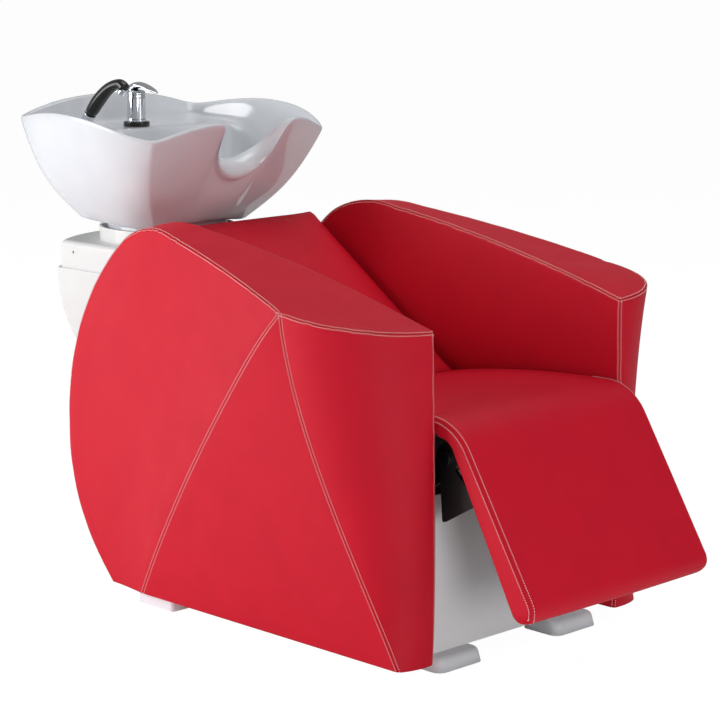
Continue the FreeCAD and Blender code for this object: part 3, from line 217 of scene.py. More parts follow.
def add_node(tree: Tree, kind: str, values: dict | None = None, links: dict | None = None,
             **settings: object) -> Node:
    """Adds a node with its settings and links.

    Args:
        tree: Node tree of the material or world.
        kind: Blender's name of the node type.
        values: Value of each input socket that has a constant, by name or number.
        links: Output socket that feeds each input socket, by name or number.
        settings: Properties of the node itself.

    Returns:
        The new node.
    """
    made = tree.nodes.new(kind)
    for name, value in settings.items():
        setattr(made, name, value)
    for name, value in (values or {}).items():
        made.inputs[name].default_value = value
    for name, socket in (links or {}).items():
        tree.links.new(socket, made.inputs[name])
    return made


def pattern(tree: Tree, kind: str, size: float, values: dict | None = None, **settings: object) -> Node:
    """Adds a texture on Object coordinates at a real size.

    Args:
        tree: Node tree of the material.
        kind: Blender's name of the texture node.
        size: Size of one cell or wave, in millimetres.
        values: Other input values of the node.
        settings: Properties of the node itself.

    Returns:
        The texture node.
    """
    place = add_node(tree, "ShaderNodeTexCoord")
    scaled = {"Scale": 1.0 / (size * MM), **(values or {})}
    return add_node(tree, kind, scaled, {"Vector": place.outputs["Object"]}, **settings)


@dataclass(frozen=True)
class Finish:
    """A finish in two colours with a relief, which the kinds of material below give their patterns.

    Args:
        name: Name of the material.
        colour: sRGB hex value of the surface.
        roughness: Middle roughness of the surface.
        slot: Material slot of the record that new pieces in this finish take.
        other: sRGB hex value that the surface varies towards.
        patchy: Values of the pattern where the other colour starts and ends, and its largest share.
        relief: Depth of the surface's pattern in millimetres, and the strength of its bump.
        gloss: How far the roughness goes below and above its middle, where it varies.
        metallic: 1 for bare metal, otherwise 0.
        ior: Index of refraction.
    """

    name: str
    colour: str
    roughness: float
    slot: str = ""
    other: str = "#808080"
    patchy: Spot | None = None
    relief: Pair = (0.1, 0.5)
    gloss: Pair | None = None
    metallic: float = 0.0
    ior: float = 1.5

    def material(self) -> bpy.types.Material:
        """Makes the material at its first use.

        Returns:
            The material.
        """
        made = bpy.data.materials.get(self.name)
        if made is None:
            made = bpy.data.materials.new(self.name)
            made.use_nodes = True
            made.diffuse_color = linear(self.colour)
            shader = made.node_tree.nodes["Principled BSDF"]
            shader.inputs["Base Color"].default_value = linear(self.colour)
            shader.inputs["Roughness"].default_value = self.roughness
            shader.inputs["Metallic"].default_value = self.metallic
            shader.inputs["IOR"].default_value = self.ior
            self.dress(made.node_tree, shader)
        return made

    def dress(self, tree: Tree, shader: Node) -> None:
        """Adds what the eye sees of the surface. A plain finish has nothing to add.

        Args:
            tree: Node tree of the material.
            shader: Its shader.
        """

    def show(self, tree: Tree, shader: Node, share: Socket, height: Socket,
             worn: Socket | None = None) -> None:
        """Links the patterns of a surface to its colour, its bump and its roughness.

        Args:
            tree: Node tree of the material.
            shader: Its shader.
            share: Pattern that mixes the other colour in.
            height: Pattern of the surface's height.
            worn: Pattern of the roughness, where it isn't the one that mixes the colours.
        """
        if self.gloss:
            ends = {"To Min": self.roughness - self.gloss[0], "To Max": self.roughness + self.gloss[1]}
            spread = add_node(tree, "ShaderNodeMapRange", ends, {"Value": worn or share})
            tree.links.new(spread.outputs["Result"], shader.inputs["Roughness"])
        if self.patchy:
            ends = dict(zip(("From Min", "From Max", "To Max"), self.patchy))
            share = add_node(tree, "ShaderNodeMapRange", ends, {"Value": share}).outputs["Result"]
        colours = {6: linear(self.colour), 7: linear(self.other)}
        mix = add_node(tree, "ShaderNodeMix", colours, {0: share}, data_type="RGBA")
        tree.links.new(mix.outputs[2], shader.inputs["Base Color"])
        depth, strength = self.relief
        sizes = {"Strength": strength, "Distance": depth * MM}
        bump = add_node(tree, "ShaderNodeBump", sizes, {"Height": height})
        tree.links.new(bump.outputs["Normal"], shader.inputs["Normal"])


@dataclass(frozen=True)
class Leatherette(Finish):
    """Calendered PVC leatherette: a satin pebble grain, a little uneven where it is pulled tight.

    The real grain of about 1 mm is too fine for the picture, so its pebbles are drawn coarser.
    """

    slot: str = "red_leatherette"
    other: str = "#A31126"
    patchy: Spot | None = (0.35, 0.75, 0.14)
    relief: Pair = (0.16, 0.5)
    gloss: Pair | None = (0.06, 0.08)
    pebble: float = 2.4
    pore: float = 0.9
    cloud: float = 85.0
    specular: float = 0.16

    def dress(self, tree: Tree, shader: Node) -> None:
        """Adds the pebble grain, soft clouds of colour and uneven gloss."""
        pebbles = pattern(tree, "ShaderNodeTexVoronoi", self.pebble, feature="SMOOTH_F1")
        pores = pattern(tree, "ShaderNodeTexNoise", self.pore, {"Detail": 2.0})
        clouds = pattern(tree, "ShaderNodeTexNoise", self.cloud, {"Detail": 3.0, "Roughness": 0.55})
        grain = {0: pebbles.outputs["Distance"], 1: pores.outputs["Fac"]}
        height = add_node(tree, "ShaderNodeMath", None, grain, operation="ADD")
        self.show(tree, shader, clouds.outputs["Fac"], height.outputs["Value"])
        shader.inputs["Specular IOR Level"].default_value = self.specular


@dataclass(frozen=True)
class Glaze(Finish):
    """Vitreous china under a fired glaze: a wet gloss over a body that is a little wavy and uneven."""

    slot: str = "glazed_ceramic"
    other: str = "#D9DDE3"
    relief: Pair = (0.5, 0.25)
    wave: float = 70.0
    coat: float = 0.15
    coat_roughness: float = 0.05

    def dress(self, tree: Tree, shader: Node) -> None:
        """Adds the waves of the slip-cast body and the clear glaze over it."""
        waves = pattern(tree, "ShaderNodeTexNoise", self.wave, {"Detail": 1.0})
        self.show(tree, shader, waves.outputs["Fac"], waves.outputs["Fac"])
        shader.inputs["Coat Weight"].default_value = self.coat
        shader.inputs["Coat Roughness"].default_value = self.coat_roughness


@dataclass(frozen=True)
class Moulding(Finish):
    """Moulded plastic: even colour, with the spark-eroded texture of its tool and faint flow marks."""

    patchy: Spot | None = (0.3, 0.8, 0.5)
    relief: Pair = (0.05, 0.4)
    gloss: Pair | None = (0.05, 0.06)
    grit: float = 1.2
    flow: float = 120.0

    def dress(self, tree: Tree, shader: Node) -> None:
        """Adds the tool's texture and the flow marks."""
        grit = pattern(tree, "ShaderNodeTexNoise", self.grit, {"Detail": 2.0})
        flow = pattern(tree, "ShaderNodeTexNoise", self.flow, {"Detail": 2.0, "Distortion": 0.4})
        self.show(tree, shader, flow.outputs["Fac"], grit.outputs["Fac"])


@dataclass(frozen=True)
class Coating(Finish):
    """Powder coat on steel: baked paint with the round waves of orange peel, dull along its edges."""

    relief: Pair = (0.12, 0.5)
    gloss: Pair | None = (0.08, 0.12)
    peel: float = 3.0
    scuff: float = 42.0

    def dress(self, tree: Tree, shader: Node) -> None:
        """Adds the orange peel and a scuffed sheen."""
        peel = pattern(tree, "ShaderNodeTexNoise", self.peel, {"Detail": 1.0})
        scuffs = pattern(tree, "ShaderNodeTexNoise", self.scuff, {"Detail": 5.0})
        self.show(tree, shader, scuffs.outputs["Fac"], peel.outputs["Fac"])


@dataclass(frozen=True)
class Metal(Finish):
    """Bare or plated metal: coloured reflections, with the faint lines of drawing, turning or polishing."""

    metallic: float = 1.0
    patchy: Spot | None = (0.45, 0.85, 0.35)
    relief: Pair = (0.01, 0.3)
    gloss: Pair | None = (0.05, 0.05)
    stain: float = 45.0
    line: float = 0.6
    stretch: float = 40.0

    def dress(self, tree: Tree, shader: Node) -> None:
        """Adds the tool lines, drawn long along X, and a faint stain."""
        place = add_node(tree, "ShaderNodeTexCoord")
        drawn = add_node(tree, "ShaderNodeMapping", {"Scale": (1.0, self.stretch, self.stretch)},
                         {"Vector": place.outputs["Object"]})
        scale = 1.0 / (self.line * self.stretch * MM)
        lines = add_node(tree, "ShaderNodeTexNoise", {"Scale": scale, "Detail": 2.0},
                         {"Vector": drawn.outputs["Vector"]})
        stains = pattern(tree, "ShaderNodeTexNoise", self.stain, {"Detail": 3.0})
        self.show(tree, shader, stains.outputs["Fac"], lines.outputs["Fac"], worn=lines.outputs["Fac"])


@dataclass(frozen=True)
class Timber(Finish):
    """Rotary-cut plywood: long pale and dark bands of grain, open pores, no lacquer."""

    other: str = "#8A6238"
    relief: Pair = (0.15, 0.6)
    band: float = 54.0
    pore: float = 0.8

    def dress(self, tree: Tree, shader: Node) -> None:
        """Adds the bands of grain, bent by slow noise, and the pores."""
        bands = pattern(tree, "ShaderNodeTexWave", self.band, {"Distortion": 5.0, "Detail": 3.0},
                        wave_type="BANDS", bands_direction="Y")
        pores = pattern(tree, "ShaderNodeTexNoise", self.pore, {"Detail": 2.0})
        self.show(tree, shader, bands.outputs["Fac"], pores.outputs["Fac"])


@dataclass(frozen=True)
class Thread(Finish):
    """Bonded polyester sewing thread: twisted plies that catch the light."""

    slot: str = "red_leatherette"
    relief: Pair = (0.08, 0.6)
    twist: float = 4.2

    def dress(self, tree: Tree, shader: Node) -> None:
        """Adds the twist of the plies."""
        plies = pattern(tree, "ShaderNodeTexWave", self.twist, {"Distortion": 0.6},
                        bands_direction="DIAGONAL")
        self.show(tree, shader, plies.outputs["Fac"], plies.outputs["Fac"])


# Soft goods: a satin red skin, a darker red for the painted shade in its seams, and bright thread.
LEATHERETTE = Leatherette("red_pvc_leatherette", "#CE142C", 0.5)
# A darker red for the tube laid in each seam: painted shade of the seam's gap.
SEAM_SHADE = Leatherette("painted_seam_shade_leatherette", "#AE1126", 0.6, other="#8E0D1E")
THREAD = Thread("white_polyester_thread", "#FFFCFA", 0.5, other="#F2ECE8")

# Glaze and plastics: from a wet gloss through satin covers to matt rubber and cloth.
GLAZE = Glaze("glazed_vitreous_china", "#E3E5E9", 0.09)
WHITE_ABS = Moulding("gloss_white_abs", "#E4E4E3", 0.24, other="#DADBDC", relief=(0.02, 0.4))
LAMINATE = Moulding("pale_grey_laminate", "#F3F3F4", 0.42, "white_laminate", "#E9EAEC", grit=1.6)
FOOT_PLASTIC = Moulding("moulded_grey_polypropylene", "#F0F1F5", 0.45, "grey_foot", "#E3E6EC",
                        relief=(0.08, 0.4), grit=1.5)
BLACK_ABS = Moulding("black_abs", "#0B0B0C", 0.24, "black_plastic", "#131315", relief=(0.03, 0.4))
WHITE_NYLON = Moulding("white_nylon", "#DEDDD8", 0.5, other="#D2D0C8")
RUBBER = Moulding("black_epdm_rubber", "#161617", 0.75, other="#222223", relief=(0.1, 0.4))
DUST_CLOTH = Moulding("black_nonwoven_dust_cloth", "#0A0A0B", 0.9, other="#131314", relief=(0.2, 0.4),
                      grit=2.5)

# Steel and other metals: black satin paint, mirror chrome, dull zinc and aluminium, warm brass and copper.
POWDER_COAT = Coating("black_powder_coated_steel", "#070708", 0.5, other="#0F0F11")
CHROME = Metal("polished_chrome_plate", "#DADDE1", 0.07, "chrome", "#C4C8CE", relief=(0.004, 0.3),
               gloss=(0.03, 0.03))
ZINC = Metal("zinc_plated_steel", "#A9ABA8", 0.34, other="#8F918C")
ALUMINIUM = Metal("extruded_aluminium", "#C6C8CA", 0.32, other="#AEB1B4")
BRASS = Metal("turned_brass", "#C79A4B", 0.3, other="#A97F3A")
COPPER = Metal("drawn_copper_tube", "#B8714D", 0.3, other="#97583B")

# Raw boards under the covers: pale, dry and banded.
PLYWOOD = Timber("raw_birch_plywood", "#C29A66", 0.7)

NODE_FINISHES = {
    PLYWOOD: ("arm_boards", "seat_board", "back_board", "legrest_board"),
    FOOT_PLASTIC: ("left_front_foot", "right_front_foot", "left_rear_foot", "right_rear_foot"),
    POWDER_COAT: ("base_frame", "seat_frame", "hinge_brackets", "left_legrest_carrier",
                  "right_legrest_carrier", "drive_lever", "column", "tilt_yoke", "cradle", "actuator_mount"),
    ZINC: ("shell_brackets", "arm_bolts", "foot_screws", "legrest_screws", "cradle_studs", "tilt_pins",
           "hinge_shaft", "drive_pin", "actuator_rod"),
    CHROME: ("cover_screws", "drain_flange", "strainer", "mixer_body", "mixer_cap", "mixer_lever",
             "shower_holder", "shower_nut", "shower_nozzle"),
    ALUMINIUM: ("actuator_tube",),
    BLACK_ABS: ("actuator_gearbox", "actuator_motor", "mixer_ring", "shower_grip"),
    BRASS: ("hinge_bushes", "drain_nut", "deck_nuts"),
    COPPER: ("supply_tails",),
    WHITE_NYLON: ("tilt_washers", "waste_trap"),
    RUBBER: ("cradle_pad", "drain_gasket"),
    LAMINATE: ("front_panel", "rear_access_panel"),
    WHITE_ABS: ("pedestal_shell", "pedestal_cover", "collar"),
    GLAZE: ("basin",),
    LEATHERETTE: ("left_arm_upholstery", "right_arm_upholstery", "seat_cushion", "back_cushion",
                  "legrest_pad"),
}


# Building helpers

def patch(mesh: Mesh, across: int, along: int, point: Callable[[float, float], Vector]) -> None:
    """Lays a grid over a surface.

    Args:
        mesh: Mesh that takes the grid.
        across: Cells across the surface.
        along: Cells along the surface.
        point: Point of the surface for a share across and a share along.
    """
    made = bmesh.ops.create_grid(mesh, x_segments=across, y_segments=along, size=1.0)
    for vert in made["verts"]:
        vert.co = point((vert.co.x + 1) / 2, (vert.co.y + 1) / 2)


def weld(mesh: Mesh, gap: float) -> None:
    """Joins patches along their borders.

    Args:
        mesh: Mesh with the patches.
        gap: Longest gap that is joined, in millimetres.
    """
    bmesh.ops.remove_doubles(mesh, verts=mesh.verts, dist=gap * MM)
    bmesh.ops.dissolve_degenerate(mesh, edges=mesh.edges, dist=gap * MM / 10)
    bmesh.ops.holes_fill(mesh, edges=[edge for edge in mesh.edges if edge.is_boundary], sides=0)
    bmesh.ops.recalc_face_normals(mesh, faces=mesh.faces)


def round_off(mesh: Mesh, edges: Sequence[bmesh.types.BMEdge], radius: float, segments: int) -> None:
    """Rounds edges of a mesh by a radius in millimetres."""
    bmesh.ops.bevel(mesh, geom=edges, offset=radius * MM, segments=segments, profile=0.5, affect="EDGES",
                    material=-1)


def joined(parts: Sequence[Mesh]) -> Mesh:
    """Brings several meshes together in one.

    Args:
        parts: The meshes, which are freed.

    Returns:
        The mesh of them all.
    """
    whole = bmesh.new()
    for part in parts:
        data = bpy.data.meshes.new("part")
        part.to_mesh(data)
        part.free()
        whole.from_mesh(data)
        bpy.data.meshes.remove(data)
    return whole


def piece(name: str, mesh: Mesh, finish: Finish, body: str = "") -> Piece:
    """Makes an object of a mesh.

    Args:
        name: Name of the object.
        mesh: Its mesh, which is freed.
        finish: Its finish.
        body: Body that it rides on, or nothing for a piece that is not attached to a body.

    Returns:
        The new object.
    """
    data = bpy.data.meshes.new(name)
    mesh.to_mesh(data)
    mesh.free()
    data.shade_smooth()
    data.materials.append(finish.material())
    made = bpy.data.objects.new(name, data)
    bpy.context.scene.collection.objects.link(made)
    if body:
        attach(made, body)
    return made


def rounded_line(corners: Sequence[Spot], parts: int = 5) -> list[Pair]:
    """Rounds the corners of an open line.

    Args:
        corners: Two coordinates of each corner and the length that its rounding takes of each side.
        parts: Parts of each rounding.

    Returns:
        The points of the rounded line.
    """
    line: list[Pair] = []
    for place, (u, v, cut) in enumerate(corners):
        if cut <= 0:
            line.append((u, v))
            continue
        here = Vector((u, v))
        before = here + (Vector(corners[place - 1][:2]) - here).normalized() * cut
        after = here + (Vector(corners[place + 1][:2]) - here).normalized() * cut
        for step in range(parts + 1):
            share = step / parts
            point = before.lerp(here, share).lerp(here.lerp(after, share), share)
            line.append((point.x, point.y))
    return line


def lathe(bench: Bench, corners: Sequence[Spot], foot: Sequence[float], axis: Vector = UP) -> Mesh:
    """Turns a rounded outline about an axis.

    Args:
        bench: The maker's axes.
        corners: Radius, height and rounding of each corner of the outline, from the axis back to the axis.
        foot: Point of the axis at height 0.
        axis: Way of the axis.

    Returns:
        The closed mesh.
    """
    mesh = bmesh.new()
    root = bench.at(*foot)
    way = axis.normalized()
    side = way.orthogonal().normalized()
    line = [mesh.verts.new(root + (side * r + way * h) * MM) for r, h in rounded_line(corners)]
    edges = [mesh.edges.new(pair) for pair in zip(line, line[1:])]
    bmesh.ops.spin(mesh, geom=line + edges, cent=root, axis=way, angle=math.tau, steps=TURN_STEPS,
                   use_merge=True)
    weld(mesh, FINE_GAP)
    return mesh


@dataclass(frozen=True)
class Bent:
    """A closed tube along a smooth curve in a plane of one X, domed at its ends.

    Args:
        points: Points of its middle line.
        widths: Half width and half height at each point.
        blunt: Even power that shapes the domes; the higher, the blunter.
        around: Cells round the tube.
        along: Cells along the tube.
        reach: Share to each side over which its way is read.
    """

    points: Sequence[Spot]
    widths: Sequence[Pair]
    blunt: int
    around: int
    along: int
    reach: float = 0.02

    def upward(self, share: float) -> Vector:
        """Returns the way across the tube that is square to X, at a share along it."""
        ahead = through(self.points, min(1.0, share + self.reach))
        return (ahead - through(self.points, max(0.0, share - self.reach))).cross(ACROSS).normalized()

    def mesh(self, bench: Bench, root: Spot = (0.0, 0.0, 0.0)) -> Mesh:
        """Makes the tube.

        Args:
            bench: The maker's axes.
            root: Point that the tube's own points are counted from.

        Returns:
            The closed mesh.
        """
        def point(turn: float, share: float) -> Vector:
            """Returns a point of the skin, for a share round the tube and a share along it."""
            width = through(self.widths, share)
            close = math.sqrt(max(0.0, 1 - (2 * share - 1) ** self.blunt))
            wide = ACROSS * width.x * close * math.cos(turn * math.tau)
            high = self.upward(share) * width.y * close * math.sin(turn * math.tau)
            return bench.at(*(Vector(root) + through(self.points, share))) + (wide + high) * MM

        mesh = bmesh.new()
        patch(mesh, self.around, self.along, point)
        weld(mesh, FINE_GAP)
        return mesh


# Sewing

@dataclass(frozen=True)
class Sewing:
    """White topstitching in two rows along a seam, over a dark tube of painted shade between the two sides.

    Args:
        spacing: Distance of each row from the seam.
        pitch: Distance from one stitch to the next.
        stitch: Length, width and height of the thread that shows.
        shade_tube: Radius of the dark tube of painted shade in the seam.
    """

    spacing: float = 3.6
    pitch: float = 4.6
    stitch: Spot = (2.4, 1.5, 1.5)
    shade_tube: float = 0.7

    def spread(self, path: Sequence[Vector], gap: float) -> list[tuple[Vector, Vector]]:
        """Walks along a path.

        Args:
            path: Points of the path.
            gap: Distance from one stop to the next, in millimetres.

        Returns:
            Each stop, with the way of the path there.
        """
        stops: list[tuple[Vector, Vector]] = []
        left = gap * MM / 2
        for start, end in zip(path, path[1:]):
            run = (end - start).length
            if run == 0:
                continue
            way = (end - start) / run
            while left <= run:
                stops.append((start + way * left, way))
                left += gap * MM
            left -= run
        return stops

    def row(self, path: Sequence[Vector], skin: BVHTree, offset: float) -> Mesh:
        """Sews one row of stitches.

        Args:
            path: Points of the seam.
            skin: The surface that is sewn.
            offset: Distance of the row from the seam, positive to the left of its way.

        Returns:
            The row's mesh.
        """
        mesh = bmesh.new()
        half = [size * MM / 2 for size in self.stitch]
        for stop, way in self.spread(path, self.pitch):
            foot, normal, _, _ = skin.find_nearest(stop)
            aside = normal.cross(way).normalized()
            foot, normal, _, _ = skin.find_nearest(foot + aside * offset * MM)
            lie = (way - normal * way.dot(normal)).normalized()
            turn = Matrix((lie, normal.cross(lie), normal)).transposed().to_4x4()
            shape = Matrix.Translation(foot + normal * half[2] / 2) @ turn @ Matrix.Diagonal((*half, 1.0))
            bmesh.ops.create_icosphere(mesh, subdivisions=1, radius=1.0, matrix=shape)
        return mesh

    def crease(self, path: Sequence[Vector], skin: BVHTree) -> Mesh:
        """Lays painted shade along a seam, as a thin dark tube on the surface where the seam's gap is shaded.

        Args:
            path: Points of the seam.
            skin: The surface that is sewn.

        Returns:
            The mesh of the painted shade.
        """
        curve = bpy.data.curves.new("shade_tube", "CURVE")
        curve.dimensions = "3D"
        curve.bevel_depth = self.shade_tube * MM
        curve.bevel_resolution = 1
        curve.use_fill_caps = True
        line = curve.splines.new("POLY")
        stops = self.spread(path, self.pitch * 2)
        line.points.add(len(stops) - 1)
        for point, (stop, _) in zip(line.points, stops):
            foot, normal, _, _ = skin.find_nearest(stop)
            point.co = (*(foot - normal * self.shade_tube * MM / 2), 1.0)
        holder = bpy.data.objects.new("shade_tube", curve)
        data = bpy.data.meshes.new_from_object(holder)
        mesh = bmesh.new()
        mesh.from_mesh(data)
        bpy.data.meshes.remove(data)
        bpy.data.objects.remove(holder)
        bpy.data.curves.remove(curve)
        return mesh

    def sew(self, name: str, skin: BVHTree, seams: Sequence[Sequence[Vector]], body: str = "",
            aside: float = 0.0) -> list[Piece]:
        """Sews every seam of a cover.

        Args:
            name: First words of the pieces' names.
            skin: The surface that is sewn.
            seams: Points of each seam.
            body: Body that the sewing rides on, or nothing where it is not attached to a body.
            aside: How much further than usual the rows lie from the seam.

        Returns:
            The stitches and the dark tubes of painted shade.
        """
        offset = self.spacing + aside
        rows = [self.row(path, skin, sign * offset) for path in seams for sign in (-1, 1)]
        # Dark tubes of painted shade along each seam.
        seam_shades = [self.crease(path, skin) for path in seams]
        return [piece(f"{name}_stitching", joined(rows), THREAD, body),
                piece(f"{name}_folds", joined(seam_shades), SEAM_SHADE, body)]


def press(mesh: Mesh, seams: Sequence[Sequence[Vector]], depth: float, width: float) -> None:
    """Presses the surface in along its seams, where the thread pulls it down.

    Args:
        mesh: Mesh of the padding.
        seams: Points of each seam.
        depth: Depth of the valley, in millimetres.
        width: Half width of the valley, in millimetres.
    """
    points = [point for seam in seams for point in seam]
    tree = KDTree(len(points))
    for place, point in enumerate(points):
        tree.insert(point, place)
    tree.balance()
    mesh.normal_update()
    reach = width * 3 * MM
    moves = []
    for vert in mesh.verts:
        _, _, gap = tree.find(vert.co)
        if gap < reach:
            moves.append((vert, vert.normal * depth * MM * math.exp(-(gap / (width * MM)) ** 2)))
    for vert, move in moves:
        vert.co -= move
    bmesh.ops.recalc_face_normals(mesh, faces=mesh.faces)


# The chair

@dataclass
class Arm:
    """One padded arm: a flat inner face, a top band that falls outward and three panels that meet at an apex.

    The front panel turns round the nose, the side panel is a triangle that hangs from the apex, and the rear
    panel leans in to a thinner back edge. Points are given as out from the inner face, back and up.
    """

    bench: Bench
    side: Side
    sewing: Sewing = Sewing()
    half: float = 250.0
    floor_gap: float = 25.0
    front_height: float = 629.0
    toe_lift: float = 2.0
    front_bow: float = 6.0
    bow_power: float = 0.7
    crown: Spot = (600.0, 753.0, 13.0)
    shoulder: Spot = (782.0, 727.0, 17.0)
    rear: Spot = (975.0, 330.0, 53.0)
    heel: Spot = (834.0, 25.0, 41.0)
    fall: float = 0.09
    toe_out: float = 77.0
    toe_back: float = 11.0
    toe_nose: float = 6.0
    apex_back: float = 193.0
    apex_nose: float = 66.0
    apex_pull: int = 8
    floor_out: float = 205.1
    rear_taper: float = 0.245
    rear_lean: float = 0.023
    rear_least: float = 50.0
    rear_blend: float = 14.0
    rear_border: float = 0.125
    seam_foot: float = 719.0
    crease_bow: float = 17.0
    crease_lead: float = 22.0
    nose_sag: float = 3.0
    seam_bow: float = 39.0
    puff: float = 3.0
    fill: float = 0.95
    pull: Pair = (0.9, 3.5)
    panel_gap: float = 0.4
    rounding: int = 2
    rows: int = 130
    nose_cells: int = 26
    side_cells: int = 76
    rear_cells: int = 56
    band_cells: int = 20
    seam_steps: int = 240
    nose_skip: int = 6
    top_end: float = 0.985
    inner_end: float = 0.6

    def legs(self) -> list[tuple[Sequence[float], Sequence[float], float]]:
        """Returns the arcs of the side outline, from the front round the top to the heel."""
        corners = [(0.0, self.front_height, 0.0), self.crown, self.shoulder, self.rear, self.heel]
        return [(start[:2], end[:2], end[2]) for start, end in zip(corners, corners[1:])]

    def apex_share(self) -> float:
        """Returns the share of the outline that lies in front of the apex."""
        spans = [math.dist(start, end) for start, end, _ in self.legs()]
        return spans[0] * self.apex_back / self.crown[0] / sum(spans)

    def outline(self, share: float) -> Pair:
        """Finds a point of the inner face's outline.

        Args:
            share: Share of the outline, from the front to the heel.

        Returns:
            How far back and up it lies.
        """
        legs = self.legs()
        spans = [math.dist(start, end) for start, end, _ in legs]
        run = share * sum(spans)
        for (start, end, bow), span in zip(legs, spans):
            if run <= span:
                return along_arc(start, end, bow, run / span)
            run -= span
        return self.heel[0], self.heel[1]

    def rear_out(self, y: float, z: float) -> float:
        """Finds how far out the rear panel lies.

        Args:
            y: Place from front to back.
            z: Height.

        Returns:
            The distance from the inner face.
        """
        lean = self.floor_out - self.rear_taper * (y - self.apex_back) - self.rear_lean * z
        gap = lean - self.rear_least
        return self.rear_least + (gap + math.hypot(gap, self.rear_blend)) / 2

    def floor(self, y: float) -> float:
        """Returns the height of the lower edge, which rises towards the toe."""
        return self.floor_gap + self.toe_lift * max(0.0, 1 - y / self.seam_foot)

    def lead(self, up: float) -> float:
        """Returns how far the front edge bows forward, for a share up it."""
        return self.front_bow * math.sin(math.pi * up ** self.bow_power)

    def place(self, out: float, y: float, z: float) -> Vector:
        """Returns the point that lies a distance out from the inner face."""
        return self.bench.at(self.side.value * (self.half + out), y, z)

    def edge(self, share: float) -> Spot:
        """Returns the outer top edge behind the apex, for a share of the outline."""
        y, z = self.outline(share)
        out = self.rear_out(y, z)
        return out, y, z - self.fall * out

    def apex(self) -> Spot:
        """Returns the point where the three outer panels meet."""
        return self.edge(self.apex_share())

    def nose(self, share: float, up: float) -> Spot:
        """Finds a point of the front panel.

        Args:
            share: Share round the panel, from the inner edge to the crease.
            up: Share up the panel.

        Returns:
            The point.
        """
        out, back, high = self.apex()
        bow = self.crease_bow * hump(up) + self.crease_lead * late_hump(up)
        end = (blend(up, self.toe_out, out), blend(up, self.toe_back, back) + bow)
        x, y = along_arc((0.0, 0.0), end, -blend(up, self.toe_nose, self.apex_nose), share)
        top = blend(share, self.front_height, high) - self.nose_sag * hump(share)
        return x, y - self.lead(up) * (1 - share), blend(up, self.floor(self.toe_back), top)

    def seam(self, up: float) -> Spot:
        """Finds a point of the seam between the side and rear panels.

        Args:
            up: Share up the seam.

        Returns:
            The point.
        """
        apex_out, apex_y, apex_z = self.apex()
        y = blend(up, self.seam_foot, apex_y) + self.seam_bow * hump(up)
        z = blend(up, self.floor_gap, apex_z)
        return blend(up ** self.apex_pull, self.rear_out(y, z), apex_out), y, z

    def swell(self, first: float, second: float) -> float:
        """Returns how far a tight panel swells at two shares across it."""
        return self.puff * math.sqrt(max(0.0, math.sin(math.pi * first) * math.sin(math.pi * second)))

    def nose_point(self, share: float, up: float) -> Vector:
        """Returns a point of the swollen front panel."""
        out, y, z = self.nose(share, up)
        return self.place(out, y - self.swell(share, up) / 2, z)

    def side_point(self, share: float, up: float) -> Vector:
        """Returns a point of the swollen side panel, from the crease back to the seam."""
        share = crowded(share)
        out, y, z = Vector(self.nose(1.0, up)).lerp(Vector(self.seam(up)), share)
        return self.place(out + self.swell(share, up), y, z)

    def rear_point(self, share: float, down: float) -> Vector:
        """Finds a point of the swollen rear panel.

        Args:
            share: Share from the seam back to the edge.
            down: Share from the apex down.

        Returns:
            The point in the frame.
        """
        share = crowded(share)
        edge = Vector(self.edge(blend(down, self.apex_share(), 1.0)))
        out, y, z = Vector(self.seam(1 - down)).lerp(edge, share)
        flat = blend(min(1.0, min(share, 1 - share) / self.rear_border), out, self.rear_out(y, z))
        return self.place(flat + self.swell(share, down), y, z)

    def band_point(self, across: float, along: float) -> Vector:
        """Finds a point of the top band.

        Args:
            across: Share from the inner to the outer edge.
            along: Share of the outline.

        Returns:
            The point in the frame.
        """
        front = self.apex_share()
        outer = self.nose(along / front, 1.0) if along < front else self.edge(along)
        return self.place(*Vector((0.0, *self.outline(along))).lerp(Vector(outer), across))

    def face_point(self, up: float, along: float) -> Vector:
        """Finds a point of the flat inner face.

        Args:
            up: Share up the face.
            along: Share of the outline.

        Returns:
            The point in the frame.
        """
        y, z = self.outline(along)
        foot = self.heel[0] * along
        lead = self.lead(up) * max(0.0, 1 - along / self.apex_share())
        return self.place(0.0, blend(up, foot, y) - lead, blend(up, self.floor(foot), z))

    def shell(self) -> Mesh:
        """Makes the arm of its panels.

        Returns:
            The closed mesh, with its edges rounded.
        """
        mesh = bmesh.new()
        front = self.apex_share()
        patch(mesh, self.nose_cells, self.rows, self.nose_point)
        patch(mesh, self.side_cells, self.rows, self.side_point)
        patch(mesh, self.rear_cells, self.rows, self.rear_point)
        for low, high, cells in ((0.0, front, self.nose_cells), (front, 1.0, self.rows)):
            patch(mesh, self.band_cells, cells, lambda a, b: self.band_point(a, blend(b, low, high)))
            patch(mesh, self.rows, cells, lambda a, b: self.face_point(a, blend(b, low, high)))
        weld(mesh, self.panel_gap)
        for _ in range(self.rounding):
            bmesh.ops.smooth_vert(mesh, verts=mesh.verts, factor=0.5, use_axis_x=True, use_axis_y=True,
                                  use_axis_z=True)
        return mesh

    def seams(self) -> list[list[Vector]]:
        """Lays out the sewn seams: top, crease, side, front, and on the sitter's left the inner edge.

        Returns:
            The points of each seam.
        """
        shares = steps(self.seam_steps) + [1.0]
        front = self.apex_share()
        top = [self.nose(share, 1.0) for share in shares[::self.nose_skip]]
        top += [self.edge(blend(share, front, self.top_end)) for share in shares]
        seams = [top, [self.nose(1.0, share) for share in shares], [self.seam(share) for share in shares],
                 [self.nose(0.0, share) for share in shares]]
        if self.side is Side.LEFT:
            seams.append([(0.0, *self.outline(share * self.inner_end)) for share in shares])
        return [[self.place(*spot) for spot in seam] for seam in seams]

